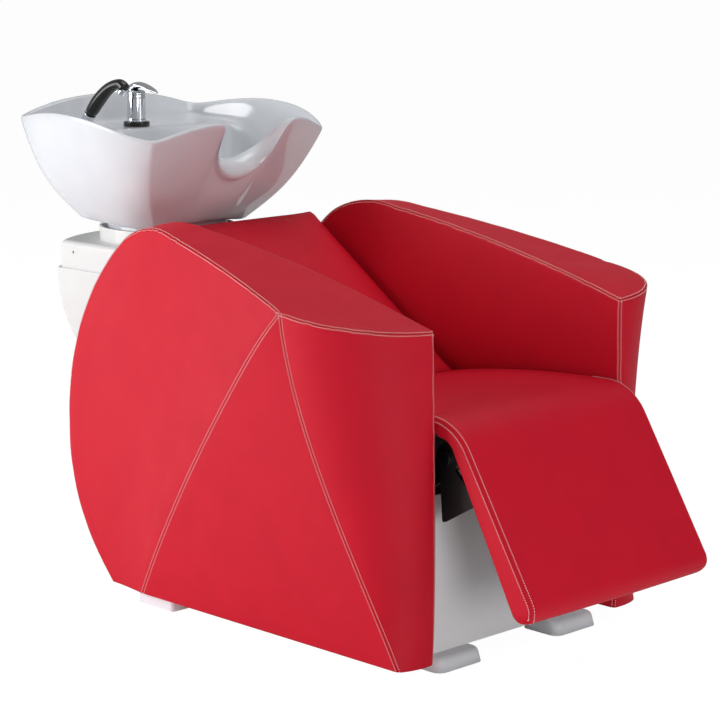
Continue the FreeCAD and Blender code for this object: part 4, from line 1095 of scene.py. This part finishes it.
    def build(self) -> list[Piece]:
        """Makes the arm and its sewing.

        Returns:
            The cover, the stitches and the dark tubes of painted seam shade.
        """
        name = f"{self.side.name.lower()}_arm"
        mesh = self.shell()
        seams = self.seams()
        press(mesh, seams, *self.pull)
        skin = BVHTree.FromBMesh(mesh)
        pad = piece(f"{name}_cover", mesh, LEATHERETTE, "chair")
        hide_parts(f"{name}_upholstery")
        return [pad, *self.sewing.sew(name, skin, seams, "chair")]


@dataclass
class Plinth:
    """The rounded front feet, the strip that closes the panel down to them, and the caps of the hinge."""

    bench: Bench
    height: float = 28.0
    corner: float = 18.0
    top: float = 9.0
    draft: float = 5.0
    overlap: float = 0.5
    cap: tuple[Spot, ...] = ((0, -1, 0), (14, -1, 0.5), (14, 3, 1.5), (0, 3, 0))

    def block(self, low: Vector, high: Vector) -> Mesh:
        """Makes a plain block.

        Args:
            low: Its lower corner.
            high: Its upper corner.

        Returns:
            The closed mesh.
        """
        mesh = bmesh.new()
        size = Matrix.Diagonal((*(high - low), 1.0))
        bmesh.ops.create_cube(mesh, size=1.0, matrix=Matrix.Translation((low + high) / 2) @ size)
        return mesh

    def foot(self, low: Vector, high: Vector) -> Mesh:
        """Makes a foot in the box of its solid: a rounded sole, and behind the panel the pad under the frame.

        Args:
            low: Lower corner of the box.
            high: Upper corner of the box.

        Returns:
            The foot's mesh.
        """
        sole = self.block(low, Vector((high.x, high.y, self.height * MM)))
        middle = (low + high) / 2
        for vert in sole.verts:
            if vert.co.z > low.z + self.top * MM:
                vert.co.x -= math.copysign(self.draft * MM, vert.co.x - middle.x)
                vert.co.y -= math.copysign(self.draft * MM, vert.co.y - middle.y)
        upright = []
        for edge in sole.edges:
            foot, head = edge.verts
            if abs(foot.co.z - head.co.z) > self.top * MM:
                upright.append(edge)
        round_off(sole, upright, self.corner, segments=6)
        rim_height = (self.height - 1) * MM
        rim = [edge for edge in sole.edges if min(vert.co.z for vert in edge.verts) > rim_height]
        round_off(sole, rim, self.top, segments=5)
        inset = Vector((self.corner, self.corner, 0.0)) * MM
        pad_low = Vector((low.x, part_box("front_panel")[1].y, low.z + self.top * MM)) + inset
        return joined([sole, self.block(pad_low, high - inset)])

    def build(self) -> list[Piece]:
        """Makes the feet, the strip and the caps.

        Returns:
            The five pieces.
        """
        made = []
        for name in ("left_front_foot", "right_front_foot"):
            foot = piece(f"{name}_moulding", self.foot(*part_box(name)), FOOT_PLASTIC, "chair")
            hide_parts(name)
            made.append(foot)
        low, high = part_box("front_panel")
        foot = Vector((low.x, low.y, self.height * MM))
        top = Vector((high.x, high.y, low.z + self.overlap * MM))
        strip = piece("front_panel_strip", self.block(foot, top), LAMINATE, "chair")
        strip.data.shade_flat()
        made.append(strip)
        low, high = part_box("hinge_shaft")
        middle = (low + high) / 2
        for side, end in ((Side.RIGHT, low.x), (Side.LEFT, high.x)):
            foot = (end / MM, (middle.y - self.bench.front) / MM, middle.z / MM)
            cap = lathe(self.bench, self.cap, foot, ACROSS * side.value)
            made.append(piece(f"{side.name.lower()}_hinge_cap", cap, BLACK_ABS, "legrest"))
        return made


@dataclass(frozen=True)
class Stop:
    """One point of a cushion's side profile, with its outward way.

    Args:
        y: Place from front to back.
        z: Height.
        way: Outward way, in Y and Z.
        rise: How much higher the middle of the cushion stands.
        narrow: How much the cushion is drawn in at each side.
    """

    y: float
    z: float
    way: Pair
    rise: float
    narrow: float = 0.0


@dataclass
class SeatCover:
    """The seat and the legrest under one cover that bends where the legrest turns, with dust cloth below."""

    bench: Bench
    sewing: Sewing = Sewing()
    side: float = 246.0
    edge: float = 9.0
    hinge: Pair = (-2.0, 402.0)
    roll: float = 75.0
    front_roll: float = 105.0
    slope: float = 58.5
    length: float = 328.0
    thickness: float = 53.0
    root_thickness: float = 36.0
    toe_corner: float = 10.0
    rear_top: Pair = (406.9, 441.0)
    rear_low: Pair = (312.6, 378.0)
    step_back: float = 35.0
    step_foot: float = 60.0
    top_bow: float = 8.0
    top_rise: float = 5.0
    front_rise: float = 3.0
    face_rise: float = 4.0
    fill: float = 0.9
    pull: Pair = (0.8, 3.0)
    row_aside: float = 1.5
    cloth_down: float = -0.2
    cloth_back: float = 0.3
    bend_start: Pair = (70.0, 470.0)
    bend_end: Pair = (-95.0, 370.0)
    top_cells: int = 40
    roll_cells: int = 16
    leg_cells: int = 36
    toe_cells: int = 18
    hollow_cells: int = 10
    under_cells: tuple[int, ...] = (6, 8, 30, 10)
    sewn_back: int = 4
    sewn_toe: int = 11
    end_cells: int = 6
    cells: int = 60

    def profile(self) -> list[Stop]:
        """Draws the closed side profile.

        Returns:
            Its stops, from the back of the seat over the front, down the legrest and back underneath.
        """
        lean = math.radians(self.slope)
        face = (-math.sin(lean), math.cos(lean))
        down = (-math.cos(lean), -math.sin(lean))
        toe = self.thickness / 2
        toe_start = self.length - toe
        inner = self.roll - self.root_thickness

        def leg(along: float, deep: float, way: Pair, rise: float) -> Stop:
            """Returns a stop of the legrest, a way along its face and a depth under it."""
            y = self.hinge[0] + face[0] * (self.roll - deep) + down[0] * along
            z = self.hinge[1] + face[1] * (self.roll - deep) + down[1] * along
            past = min(self.toe_corner, max(0.0, along - self.length + self.toe_corner))
            return Stop(y, z, way, rise, self.toe_corner - math.sqrt(self.toe_corner ** 2 - past ** 2))

        def about(centre: Pair, angle: float, radius: float, sign: float, rise: float) -> Stop:
            """Returns a stop of a roll, at an angle about its centre."""
            way = (math.cos(angle), math.sin(angle))
            spot = (centre[0] + radius * way[0], centre[1] + radius * way[1])
            return Stop(*spot, (sign * way[0], sign * way[1]), rise)

        shrink = self.front_roll - self.roll
        slip = shrink * math.tan(lean / 2)
        roll_middle = (self.hinge[0] + slip, self.hinge[1] - shrink)
        front_top = (roll_middle[0], self.hinge[1] + self.roll)
        stops: list[Stop] = []
        for share in steps(self.top_cells):
            spot = along_arc(self.rear_top, front_top, -self.top_bow, share)
            rise = self.top_rise * math.sin(math.pi * share) + self.front_rise * share
            stops.append(Stop(*spot, (0.0, 1.0), rise))
        for share in steps(self.roll_cells):
            angle = math.pi / 2 + lean * share
            stops.append(about(roll_middle, angle, self.front_roll, 1.0, self.front_rise))
        for share in steps(self.leg_cells):
            rise = self.front_rise + self.face_rise * math.sin(math.pi * share)
            stops.append(leg(blend(share, slip, toe_start), 0.0, face, rise))
        for share in steps(self.toe_cells):
            ahead, aside = math.sin(math.pi * share), math.cos(math.pi * share)
            way = (face[0] * aside + down[0] * ahead, face[1] * aside + down[1] * ahead)
            stops.append(leg(toe_start + toe * ahead, toe - toe * aside, way, self.front_rise * (1 - share)))
        for share in steps(self.leg_cells):
            deep = blend(1 - share, self.root_thickness, self.thickness)
            stops.append(leg(toe_start * (1 - share), deep, (-face[0], -face[1]), 0.0))
        for share in steps(self.hollow_cells):
            stops.append(about(self.hinge, math.pi / 2 + lean * (1 - share), inner, -1.0, 0.0))
        ceiling = self.hinge[1] + inner
        corners = [(self.hinge[0], ceiling), (self.step_back, ceiling), (self.step_foot, self.rear_low[1]),
                   self.rear_low, self.rear_top]
        for start, end, parts in zip(corners, corners[1:], self.under_cells):
            length = math.dist(start, end)
            way = ((end[1] - start[1]) / length, -(end[0] - start[0]) / length)
            for share in steps(parts):
                stops.append(Stop(blend(share, start[0], end[0]), blend(share, start[1], end[1]), way, 0.0))
        return stops

    def station(self, share: float) -> Pair:
        """Finds a line along the cover.

        Args:
            share: Share across the cover.

        Returns:
            The X of the line, and how far the rounded side edge has dropped there.
        """
        place = share * self.cells
        near = min(place, self.cells - place)
        sign = -1.0 if place < self.cells / 2 else 1.0
        flat_side = self.side - self.edge
        if near < self.end_cells:
            turn = math.pi / 2 * (1 - near / self.end_cells)
            return sign * (flat_side + self.edge * math.sin(turn)), self.edge * (1 - math.cos(turn))
        flat = (place - self.end_cells) / (self.cells - 2 * self.end_cells)
        return blend(flat, -1.0, 1.0) * flat_side, 0.0

    def point(self, stop: Stop, x: float, drop: float) -> Vector:
        """Returns the point of the cover at a stop of its profile and an X."""
        shift = stop.rise * (1 - (x / self.side) ** 2) - drop
        x *= 1 - stop.narrow / self.side
        return self.bench.at(x, stop.y + stop.way[0] * shift, stop.z + stop.way[1] * shift)

    def build(self) -> list[Piece]:
        """Makes the cover and its sewing, which are not attached to a body.

        Returns:
            The cover, the stitches and the dark tubes of painted seam shade.
        """
        stops = self.profile()
        count = len(stops)

        def skin_point(across: float, share: float) -> Vector:
            """Returns a point of the skin, for a share across it and a share of the profile."""
            return self.point(stops[round(share * count) % count], *self.station(across))

        mesh = bmesh.new()
        patch(mesh, self.cells, count, skin_point)
        weld(mesh, CELL_GAP)
        corner = self.edge * (1 - math.sqrt(0.5))
        toe_start = self.top_cells + self.roll_cells + self.leg_cells
        sewn = stops[self.top_cells - self.sewn_back:toe_start + self.sewn_toe]
        line = self.side - corner
        seams = [[self.point(stop, sign * line, corner) for stop in sewn] for sign in (-1, 1)]
        press(mesh, seams, *self.pull)
        skin = BVHTree.FromBMesh(mesh)
        hinge_y = self.bench.at(0.0, *self.hinge).y
        for face in mesh.faces:
            hidden = face.calc_center_median().y > hinge_y or face.normal.y > self.cloth_back
            face.material_index = int(face.normal.z < self.cloth_down and hidden)
        cover = piece("seat_and_legrest_cover", mesh, LEATHERETTE)
        cover.data.materials.append(DUST_CLOTH.material())
        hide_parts("seat_cushion", "legrest_pad")
        made = [cover, *self.sewing.sew("legrest", skin, seams, aside=self.row_aside)]
        start, end = (self.bench.at(0, *spot) for spot in (self.bend_start, self.bend_end))
        for bending in made:
            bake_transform(bending)
        return made


@dataclass
class BackCushion:
    """The sloping back: foam under one tight cover, blown up a little as cloth from a rounded block."""

    bench: Bench
    side: float = 245.0
    foot: Pair = (395.0, 429.0)
    slope: float = 35.0
    length: float = 497.0
    thickness: float = 75.0
    front_rise: float = 33.0
    corner: float = 13.0
    fill: float = 0.9
    cell: float = 6.0
    air: float = 4.0
    frames: int = 20
    most: float = 6.0
    evening: int = 4

    def block(self) -> Mesh:
        """Makes the rounded block of foam.

        Returns:
            Its closed mesh.
        """
        lean = math.radians(self.slope)
        along = Vector((0.0, math.cos(lean), math.sin(lean)))
        out = Vector((0.0, -math.sin(lean), math.cos(lean)))
        middle = self.bench.at(0, *self.foot) + (along * self.length - out * self.thickness) * MM / 2
        turn = Matrix((ACROSS, along, out)).transposed().to_4x4()
        size = Matrix.Diagonal((2 * self.side * MM, self.length * MM, self.thickness * MM, 1.0))
        mesh = bmesh.new()
        bmesh.ops.create_cube(mesh, size=1.0, matrix=Matrix.Translation(middle) @ turn @ size)
        top_front = []
        for vert in mesh.verts:
            if min((vert.co - middle).dot(way) for way in (along, out)) > 0:
                top_front.append(vert)
        bmesh.ops.translate(mesh, verts=top_front, vec=along * self.front_rise * MM)
        round_off(mesh, mesh.edges, self.corner, segments=5)
        return mesh

    def baked(self, made: Piece) -> None:
        """Replaces an object's mesh by what its modifiers make of it.

        Args:
            made: The object.
        """
        bpy.context.view_layer.update()
        graph = bpy.context.evaluated_depsgraph_get()
        data = bpy.data.meshes.new_from_object(made.evaluated_get(graph))
        made.modifiers.clear()
        old = made.data
        made.data = data
        bpy.data.meshes.remove(old)
        made.data.shade_smooth()

    def blow_up(self, made: Piece) -> None:
        """Blows the block up as cloth, so that its cover pulls tight over the foam.

        Args:
            made: Object with the closed mesh of the block.
        """
        remesh = made.modifiers.new("cells", "REMESH")
        remesh.mode = "VOXEL"
        remesh.voxel_size = self.cell * MM
        self.baked(made)
        rest = [vert.co.copy() for vert in made.data.vertices]
        cloth = made.modifiers.new("air", "CLOTH")
        cloth.settings.use_pressure = True
        cloth.settings.uniform_pressure_force = self.air
        cloth.settings.effector_weights.gravity = 0.0
        cloth.point_cache.frame_end = self.frames
        for frame in range(1, self.frames + 1):
            bpy.context.scene.frame_set(frame)
        self.baked(made)
        bpy.context.scene.frame_set(1)
        for vert, start in zip(made.data.vertices, rest):
            move = vert.co - start
            if move.length > self.most * MM:
                vert.co = start + move.normalized() * self.most * MM
        smooth = made.modifiers.new("even", "SMOOTH")
        smooth.iterations = self.evening
        self.baked(made)

    def build(self) -> list[Piece]:
        """Makes the cushion.

        Returns:
            The cushion alone.
        """
        cushion = piece("back_cover", self.block(), LEATHERETTE)
        self.blow_up(cushion)
        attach(cushion, "chair")
        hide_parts("back_cushion")
        return [cushion]


# The basin

@dataclass(frozen=True)
class Post:
    """One station round the basin, on the side of positive X.

    Args:
        rim: Top of the rim.
        base: Edge of the base, in X and Y.
        lip: Width of the rim.
        belly: How far the wall swells out halfway up.
        tuck: How far the wall steps in under the rim.
        drop: Height of the rim's rounded front.
        ahead: How far the foot of that front stands out from the top.
    """

    rim: Spot
    base: Pair
    lip: float = 11.0
    belly: float = 14.0
    tuck: float = 0.0
    drop: float = 6.0
    ahead: float = 2.0


@dataclass
class Basin:
    """The ceramic basin: high arched sides, two horns at the front and a rolled neck rest between them.

    Its rows of stops are shares up the wall with the parts of belly and tuck (swells) or of belly alone
    (falls), shares of the rim's front (fronts), and steps over the lip: share, inward and down (lips).
    """

    bench: Bench
    base_height: float = 719.0
    foot_drop: float = 3.0
    foot_lean: float = 0.045
    foot_flat: float = 60.0
    floor_height: float = 735.0
    floor_share: float = 0.6
    deck_height: float = 898.0
    deck_front: float = 1060.0
    deck_rear: float = 1190.0
    deck_cove: float = 14.0
    deck_draft: Pair = (0.985, 4.0)
    deck_edge: float = 9.0
    deck_half: float = 228.0
    slope_half: float = 194.0
    foot_half: float = 136.0
    wall_foot: float = 1016.0
    drain_back: float = 930.0
    drain_radius: float = 27.0
    middle: float = 965.0
    aim: float = 0.8
    wall: float = 14.0
    foot_wall: float = 21.0
    edge: float = 5.0
    lip_start: float = 0.15
    smoothing: int = 3
    posts: tuple[Post, ...] = (
        Post((0.0, 1217.0, 965.0), (0.0, 1121.0), belly=10.0),
        Post((130.0, 1215.0, 957.0), (88.0, 1120.0), belly=12.0),
        Post((218.0, 1212.0, 932.0), (148.0, 1117.0), belly=20.0),
        Post((242.0, 1195.0, 926.0), (162.0, 1103.0), belly=26.0),
        Post((266.0, 1105.0, 943.0), (165.0, 1052.0), belly=22.0),
        Post((280.0, 1000.0, 949.0), (163.0, 1000.0), belly=21.0),
        Post((278.0, 895.0, 936.0), (156.0, 953.0), belly=22.0),
        Post((256.0, 824.0, 912.0), (140.0, 927.0), belly=24.0),
        Post((232.0, 792.0, 905.0), (127.5, 913.0), belly=24.0),
        Post((226.0, 785.0, 904.0), (124.0, 910.0), belly=23.0),
        Post((218.0, 780.0, 905.5), (120.0, 907.5), belly=20.0),
        Post((158.0, 748.0, 927.0), (100.0, 896.0), belly=8.0),
        Post((104.0, 727.0, 937.0), (80.0, 887.0), belly=0.0),
        Post((84.0, 728.0, 932.0), (69.0, 883.0), 13.0, -1.0, 3.0),
        Post((77.0, 752.0, 908.0), (60.0, 881.0), 18.0, -1.0, 9.0, 9.0, 6.0),
        Post((70.0, 780.0, 882.0), (48.0, 879.0), 24.0, 0.0, 16.0, 20.0, 13.0),
        Post((45.0, 804.0, 859.0), (30.0, 878.0), 28.0, 2.0, 19.0, 36.0, 18.0),
        Post((0.0, 813.0, 850.0), (0.0, 878.0), 30.0, 2.0, 19.0, 45.0, 20.0),
    )
    deck_shares: tuple[float, ...] = (0.0, 0.42, 0.76, 0.92, 1.0)
    swells: tuple[Spot, ...] = ((0.3, 1.0, 0.0), (0.6, 0.95, 0.2), (0.9, 0.3, 1.0), (0.965, 0.12, 0.9))
    falls: tuple[Pair, ...] = ((0.88, 0.4), (0.76, 0.7), (0.62, 0.9), (0.45, 1.0), (0.25, 0.75))
    fronts: tuple[Pair, ...] = ((0.0, 0.0), (0.11, 0.45), (0.45, 0.85))
    lips: tuple[Spot, ...] = ((0.8, 0.0, 1.0), (1.0, 2.0, 8.0))
    skirt: tuple[Spot, ...] = ((118.0, 724.0, 0.0), (118.0, 692.0, 2.0), (125.0, 690.0, 2.0),
                               (125.0, 724.0, 0.0))

    def inward(self, spot: Vector) -> Vector:
        """Returns the level way from a point of the rim to the middle of the basin."""
        return Vector((-spot.x, (self.middle - spot.y) * self.aim, 0.0)).normalized()

    def ring(self, spot: Vector, radius: float, height: float) -> Vector:
        """Returns the point of a ring round the drain that lies towards a point."""
        way = Vector((spot.x, spot.y - self.drain_back, 0.0)).normalized()
        return Vector((0.0, self.drain_back, height)) + way * radius

    def foot(self, post: Post) -> Vector:
        """Finds the edge of the base, which hangs lower towards the front corners.

        Args:
            post: Station round the basin.

        Returns:
            The point at the foot of the wall.
        """
        x, y = post.base
        aside = min(1.0, max(0.0, x / self.foot_flat - 1.0))
        lean = self.foot_lean * aside * (self.posts[0].base[1] - y)
        return Vector((x, y, self.base_height - self.foot_drop - lean))

    def outer(self, post: Post) -> list[Vector]:
        """Draws the outside of a station.

        Args:
            post: Station round the basin.

        Returns:
            Its stops, from the drain hole up to the top of the rim.
        """
        rim = Vector(post.rim)
        base = self.foot(post)
        inward = self.inward(rim)
        low = rim - inward * post.ahead - UP * post.drop
        stops = [self.ring(base, self.drain_radius, self.base_height),
                 base + self.inward(base) * self.edge, base + UP * self.edge]
        for share, swell, tuck in self.swells:
            stops.append(base.lerp(low, share) - inward * (post.belly * swell - post.tuck * tuck))
        stops += [low + inward * post.ahead * deep + UP * post.drop * high for deep, high in self.fronts]
        return stops + [rim + inward * post.lip * self.lip_start]

    def deck(self, share: float, corner: Vector) -> list[Vector]:
        """Draws the inside of a station over the deck.

        Args:
            share: Share of the deck's half width.
            corner: Where the wall comes down behind the deck.

        Returns:
            Its stops, from the deck's rear corner down to the foot of the wall.
        """
        corner.y = min(corner.y, self.deck_rear)
        draft, back = self.deck_draft
        height = self.deck_height
        half = self.deck_half * share
        slope = Vector((self.slope_half * share, self.deck_front, height))
        foot = Vector((self.foot_half * share, self.wall_foot, self.floor_height + self.edge))
        slope.y = (self.deck_front + self.wall_foot) / 2
        slope.z = (height + self.floor_height) / 2
        return [Vector((corner.x, corner.y, height + self.deck_cove)),
                Vector((corner.x * draft, corner.y - back * (1 - share), height)),
                Vector((half, self.deck_front + self.deck_edge, height)),
                Vector((half, self.deck_front, height)), slope, foot]

    def inner(self, place: int) -> list[Vector]:
        """Draws the inside of a station.

        Args:
            place: Number of the station; the first ones stand over the deck.

        Returns:
            Its stops, from the top of the rim down to the drain hole.
        """
        post = self.posts[place]
        rim = Vector(post.rim)
        base = Vector((*post.base, self.base_height))
        inward = self.inward(rim)
        stops = [rim + inward * (post.lip * wide + past) - UP * down for wide, past, down in self.lips]
        if place < len(self.deck_shares):
            stops += self.deck(self.deck_shares[place], rim + inward * (post.lip + self.edge))
        else:
            for share, swell in self.falls:
                depth = self.wall - post.belly * swell + post.lip * share / 2
                stops.append(base.lerp(rim, share) + inward * depth)
            stops.append(base + self.inward(base) * self.foot_wall)
            stops[-1].z = self.floor_height + self.edge
        drain = self.ring(base, self.drain_radius + self.edge, self.floor_height)
        stops += [stops[-1].lerp(drain, self.floor_share), drain]
        stops[-2].z = self.floor_height
        return stops + [self.ring(base, self.drain_radius, self.floor_height - self.edge)]

    def build(self) -> list[Piece]:
        """Makes the basin as one closed skin round its drain hole, and the ring under its foot.

        Returns:
            The ring and the bowl.
        """
        columns = [self.outer(post) + self.inner(place) for place, post in enumerate(self.posts)]
        for column in columns[-2:0:-1]:
            columns.append([Vector((-stop.x, stop.y, stop.z)) for stop in column])
        around, along = len(columns), len(columns[0])

        def point(turn: float, share: float) -> Vector:
            """Returns a stop of the skin, for a share round the basin and a share of a station."""
            column = columns[round(turn * around) % around]
            return self.bench.at(*column[round(share * along) % along])

        mesh = bmesh.new()
        patch(mesh, around, along, point)
        weld(mesh, CELL_GAP)
        low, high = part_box("collar")
        back = ((low.y + high.y) / 2 - self.bench.front) / MM
        skirt = piece("basin_foot_ring", lathe(self.bench, self.skirt, (0.0, back, 0.0)), GLAZE, "basin")
        bowl = piece("basin_bowl", mesh, GLAZE, "basin")
        refine = bowl.modifiers.new("refine", "SUBSURF")
        refine.levels = self.smoothing
        refine.render_levels = self.smoothing
        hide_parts("basin")
        return [skirt, bowl]


@dataclass
class Mixer:
    """The single-lever mixer on the deck: black ring, chrome body and cap, arched leaf of a lever."""

    bench: Bench
    foot: Spot = (0.0, 1112.0, 897.0)
    ring: tuple[Spot, ...] = ((0, 0, 0), (27.5, 0, 0.8), (27.5, 11, 2.5), (0, 11, 0))
    body: tuple[Spot, ...] = ((0, 11, 0), (20.6, 11, 0.6), (20.6, 15, 1.5), (19.4, 17, 1.0), (19.4, 60, 1.0),
                              (18.6, 62, 0.6), (18.6, 67.6, 0.5), (0, 67.6, 0))
    cap: tuple[Spot, ...] = ((0, 68, 0), (19.3, 68, 0.8), (19.3, 75, 4.5), (0, 79, 0))
    leaf: Bent = Bent(((0, 1131, 970), (0, 1122, 978), (0, 1105, 984), (0, 1084, 983), (0, 1062, 977),
                       (0, 1044, 970)),
                      ((9, 5), (14, 7), (15, 7), (13.5, 4.5), (11, 2.8), (6, 1.8)),
                      blunt=12, around=24, along=40)

    def build(self) -> list[Piece]:
        """Makes the mixer on the bodies that its pieces turn with.

        Returns:
            The four pieces.
        """
        made = []
        for name, corners, finish, body in (("mixer_ring", self.ring, BLACK_ABS, "basin"),
                                            ("mixer_body", self.body, CHROME, "basin"),
                                            ("mixer_cap", self.cap, CHROME, "mixer_cap")):
            turned = piece(f"{name}_turned", lathe(self.bench, corners, self.foot), finish, body)
            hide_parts(name)
            made.append(turned)
        lever = piece("mixer_lever_leaf", self.leaf.mesh(self.bench), CHROME, "mixer_lever")
        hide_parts("mixer_lever")
        return [*made, lever]


@dataclass
class HandShower:
    """The hand shower in its holder: a bent black grip that swells to its head, a ferrule and a nozzle."""

    bench: Bench
    root: Spot = (-120.0, 1138.0, 902.0)
    grip: Bent = Bent(((0, -23, 28.5), (0, -55, 61), (0, -88, 85), (0, -121, 95), (0, -139, 86)),
                      ((14, 13.4), (14.4, 13.6), (12.8, 11.8), (11.2, 10.2), (12, 11)),
                      blunt=18, around=28, along=60)
    ferrule: tuple[Spot, ...] = ((0, 8, 0), (12.4, 8, 1.0), (13.2, 37, 1.0), (0, 37, 0))
    nozzle: tuple[Spot, ...] = ((0, 2, 0), (8.5, 2, 0.5), (9.2, 15.5, 1.5), (0, 15.5, 0))
    nozzle_share: float = 0.93

    def build(self) -> list[Piece]:
        """Makes the hand shower.

        Returns:
            The grip, the ferrule and the nozzle.
        """
        grip = piece("hand_shower_grip", self.grip.mesh(self.bench, self.root), BLACK_ABS, "hand_shower")
        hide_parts("shower_grip")
        ring = lathe(self.bench, self.ferrule, self.root, Vector(self.grip.points[0]))
        ferrule = piece("hand_shower_ferrule", ring, CHROME, "hand_shower")
        spot = Vector(self.root) + through(self.grip.points, self.nozzle_share)
        up = self.grip.upward(self.nozzle_share)
        rose = lathe(self.bench, self.nozzle, spot, -up if up.z > 0 else up)
        nozzle = piece("hand_shower_nozzle", rose, CHROME, "hand_shower")
        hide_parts("shower_nozzle")
        return [grip, ferrule, nozzle]


# The studio

@dataclass(frozen=True)
class Lamp:
    """A square soft box that faces the unit.

    Args:
        name: Name of the lamp.
        place: Where it stands in the frame, in metres.
        size: Length of its side, in metres.
        watts: Its power.
    """

    name: str
    place: Spot
    size: float
    watts: float


@dataclass
class Studio:
    """The pale floor, the soft lights and the camera at the photo's angle."""

    bench: Bench
    camera_place: Spot = (-3208.8, -2827.0, 1358.3)
    azimuth: float = -44.48
    elevation: float = 10.77
    lens: float = 120.0
    sensor: float = 36.0
    sight: float = 200.0
    target: Spot = (0.0, 0.0, 0.45)
    ambient: float = 0.04
    mirrored: float = 0.3
    floor_half: float = 60.0
    floor_glow: float = 0.975
    floor_colour: str = "#5F6062"
    bounce_colour: str = "#F4F4F5"
    surround: str = "#FFFFFF"
    lamps: tuple[Lamp, ...] = (
        Lamp("key", (-3.4, 2.5, 1.4), 2.6, 160.0),
        Lamp("front", (0.4, -4.0, 3.0), 2.4, 17.0),
        Lamp("top", (0.5, -0.2, 3.8), 2.6, 60.0),
        Lamp("low_front", (0.9, -3.8, 0.75), 1.4, 10.0),
        Lamp("near_front", (-1.6, -3.6, 0.6), 1.1, 36.0),
    )

    def seen(self, tree: Tree) -> Socket:
        """Tells what the eye sees from what lights the unit.

        Args:
            tree: Node tree of the floor or the world.

        Returns:
            1 for what is seen straight or through glass, a part of it for mirrored rays, otherwise 0.
        """
        path = add_node(tree, "ShaderNodeLightPath").outputs
        straight = add_node(tree, "ShaderNodeMath", None,
                            {0: path["Is Camera Ray"], 1: path["Is Transmission Ray"]}, operation="MAXIMUM")
        mirror = add_node(tree, "ShaderNodeMath", {1: self.mirrored}, {0: path["Is Glossy Ray"]},
                          operation="MULTIPLY")
        every = add_node(tree, "ShaderNodeMath", None, {0: straight.outputs[0], 1: mirror.outputs[0]},
                         operation="MAXIMUM")
        return every.outputs[0]

    def light(self) -> None:
        """Sets the white surround and the soft boxes."""
        world = bpy.data.worlds.new("white_studio")
        world.use_nodes = True
        bpy.context.scene.world = world
        tree = world.node_tree
        background = tree.nodes["Background"]
        background.inputs["Color"].default_value = linear(self.surround)
        strength = add_node(tree, "ShaderNodeMapRange", {"To Min": self.ambient, "To Max": 1.0},
                            {"Value": self.seen(tree)})
        tree.links.new(strength.outputs["Result"], background.inputs["Strength"])
        for lamp in self.lamps:
            data = bpy.data.lights.new(lamp.name, "AREA")
            data.shape = "SQUARE"
            data.size = lamp.size
            data.energy = lamp.watts
            made = bpy.data.objects.new(lamp.name, data)
            made.location = lamp.place
            way = Vector(self.target) - Vector(lamp.place)
            made.rotation_euler = way.to_track_quat("-Z", "Y").to_euler()
            bpy.context.scene.collection.objects.link(made)

    def floor(self) -> None:
        """Lays the pale floor, which the eye sees as white with the unit's shadow on it."""
        mesh = bmesh.new()
        bmesh.ops.create_grid(mesh, x_segments=1, y_segments=1, size=self.floor_half)
        data = bpy.data.meshes.new("studio_floor")
        mesh.to_mesh(data)
        mesh.free()
        material = bpy.data.materials.new("white_studio_floor")
        material.use_nodes = True
        tree = material.node_tree
        tree.nodes.remove(tree.nodes["Principled BSDF"])
        matt = add_node(tree, "ShaderNodeBsdfDiffuse", {"Color": linear(self.floor_colour)})
        glow = add_node(tree, "ShaderNodeEmission", {"Strength": self.floor_glow})
        shown = add_node(tree, "ShaderNodeAddShader", None, {0: matt.outputs[0], 1: glow.outputs[0]})
        bounce = add_node(tree, "ShaderNodeBsdfDiffuse", {"Color": linear(self.bounce_colour)})
        both = add_node(tree, "ShaderNodeMixShader", None,
                        {0: self.seen(tree), 1: bounce.outputs[0], 2: shown.outputs[0]})
        tree.links.new(both.outputs[0], tree.nodes["Material Output"].inputs["Surface"])
        data.materials.append(material)
        ground = bpy.data.objects.new("studio_floor", data)
        bpy.context.scene.collection.objects.link(ground)

    def shoot(self) -> None:
        """Sets the camera and the picture."""
        data = bpy.data.cameras.new("camera")
        data.sensor_width = self.sensor
        data.lens = self.lens
        data.clip_end = self.sight
        made = bpy.data.objects.new("camera", data)
        made.location = self.bench.at(*self.camera_place)
        made.rotation_euler = (math.radians(90 - self.elevation), 0.0, math.radians(self.azimuth))
        scene = bpy.context.scene
        scene.collection.objects.link(made)
        scene.camera = made
        scene.view_settings.view_transform = "Standard"

    def build(self) -> None:
        """Makes the whole studio."""
        self.light()
        self.floor()
        self.shoot()


def dress_nodes(nodes: dict[str, Piece]) -> None:
    """Gives every CAD node the finish of its real material.

    Args:
        nodes: Object of each node, by name.
    """
    for finish, names in NODE_FINISHES.items():
        for name in names:
            nodes[name].data.materials.clear()
            nodes[name].data.materials.append(finish.material())


def main() -> None:
    """Builds the looks of the unit over its frame, and reports each piece."""
    logging.basicConfig(level=logging.INFO, format="%(name)s: %(message)s")
    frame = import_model()
    bench = Bench(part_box("front_panel")[0].y - PANEL_SETBACK * MM)
    LOG.info("front edges of the arms at y %.4f m", bench.front)
    dress_nodes(frame["nodes"])
    assemblies = [Arm(bench, side) for side in Side]
    assemblies += [kind(bench) for kind in (Plinth, SeatCover, BackCushion, Basin, Mixer, HandShower)]
    for assembly in assemblies:
        for made in assembly.build():
            LOG.info("%s: %s, %d faces", type(assembly).__name__, made.name, len(made.data.polygons))
    Studio(bench).build()


if __name__ == "__main__":
    main()
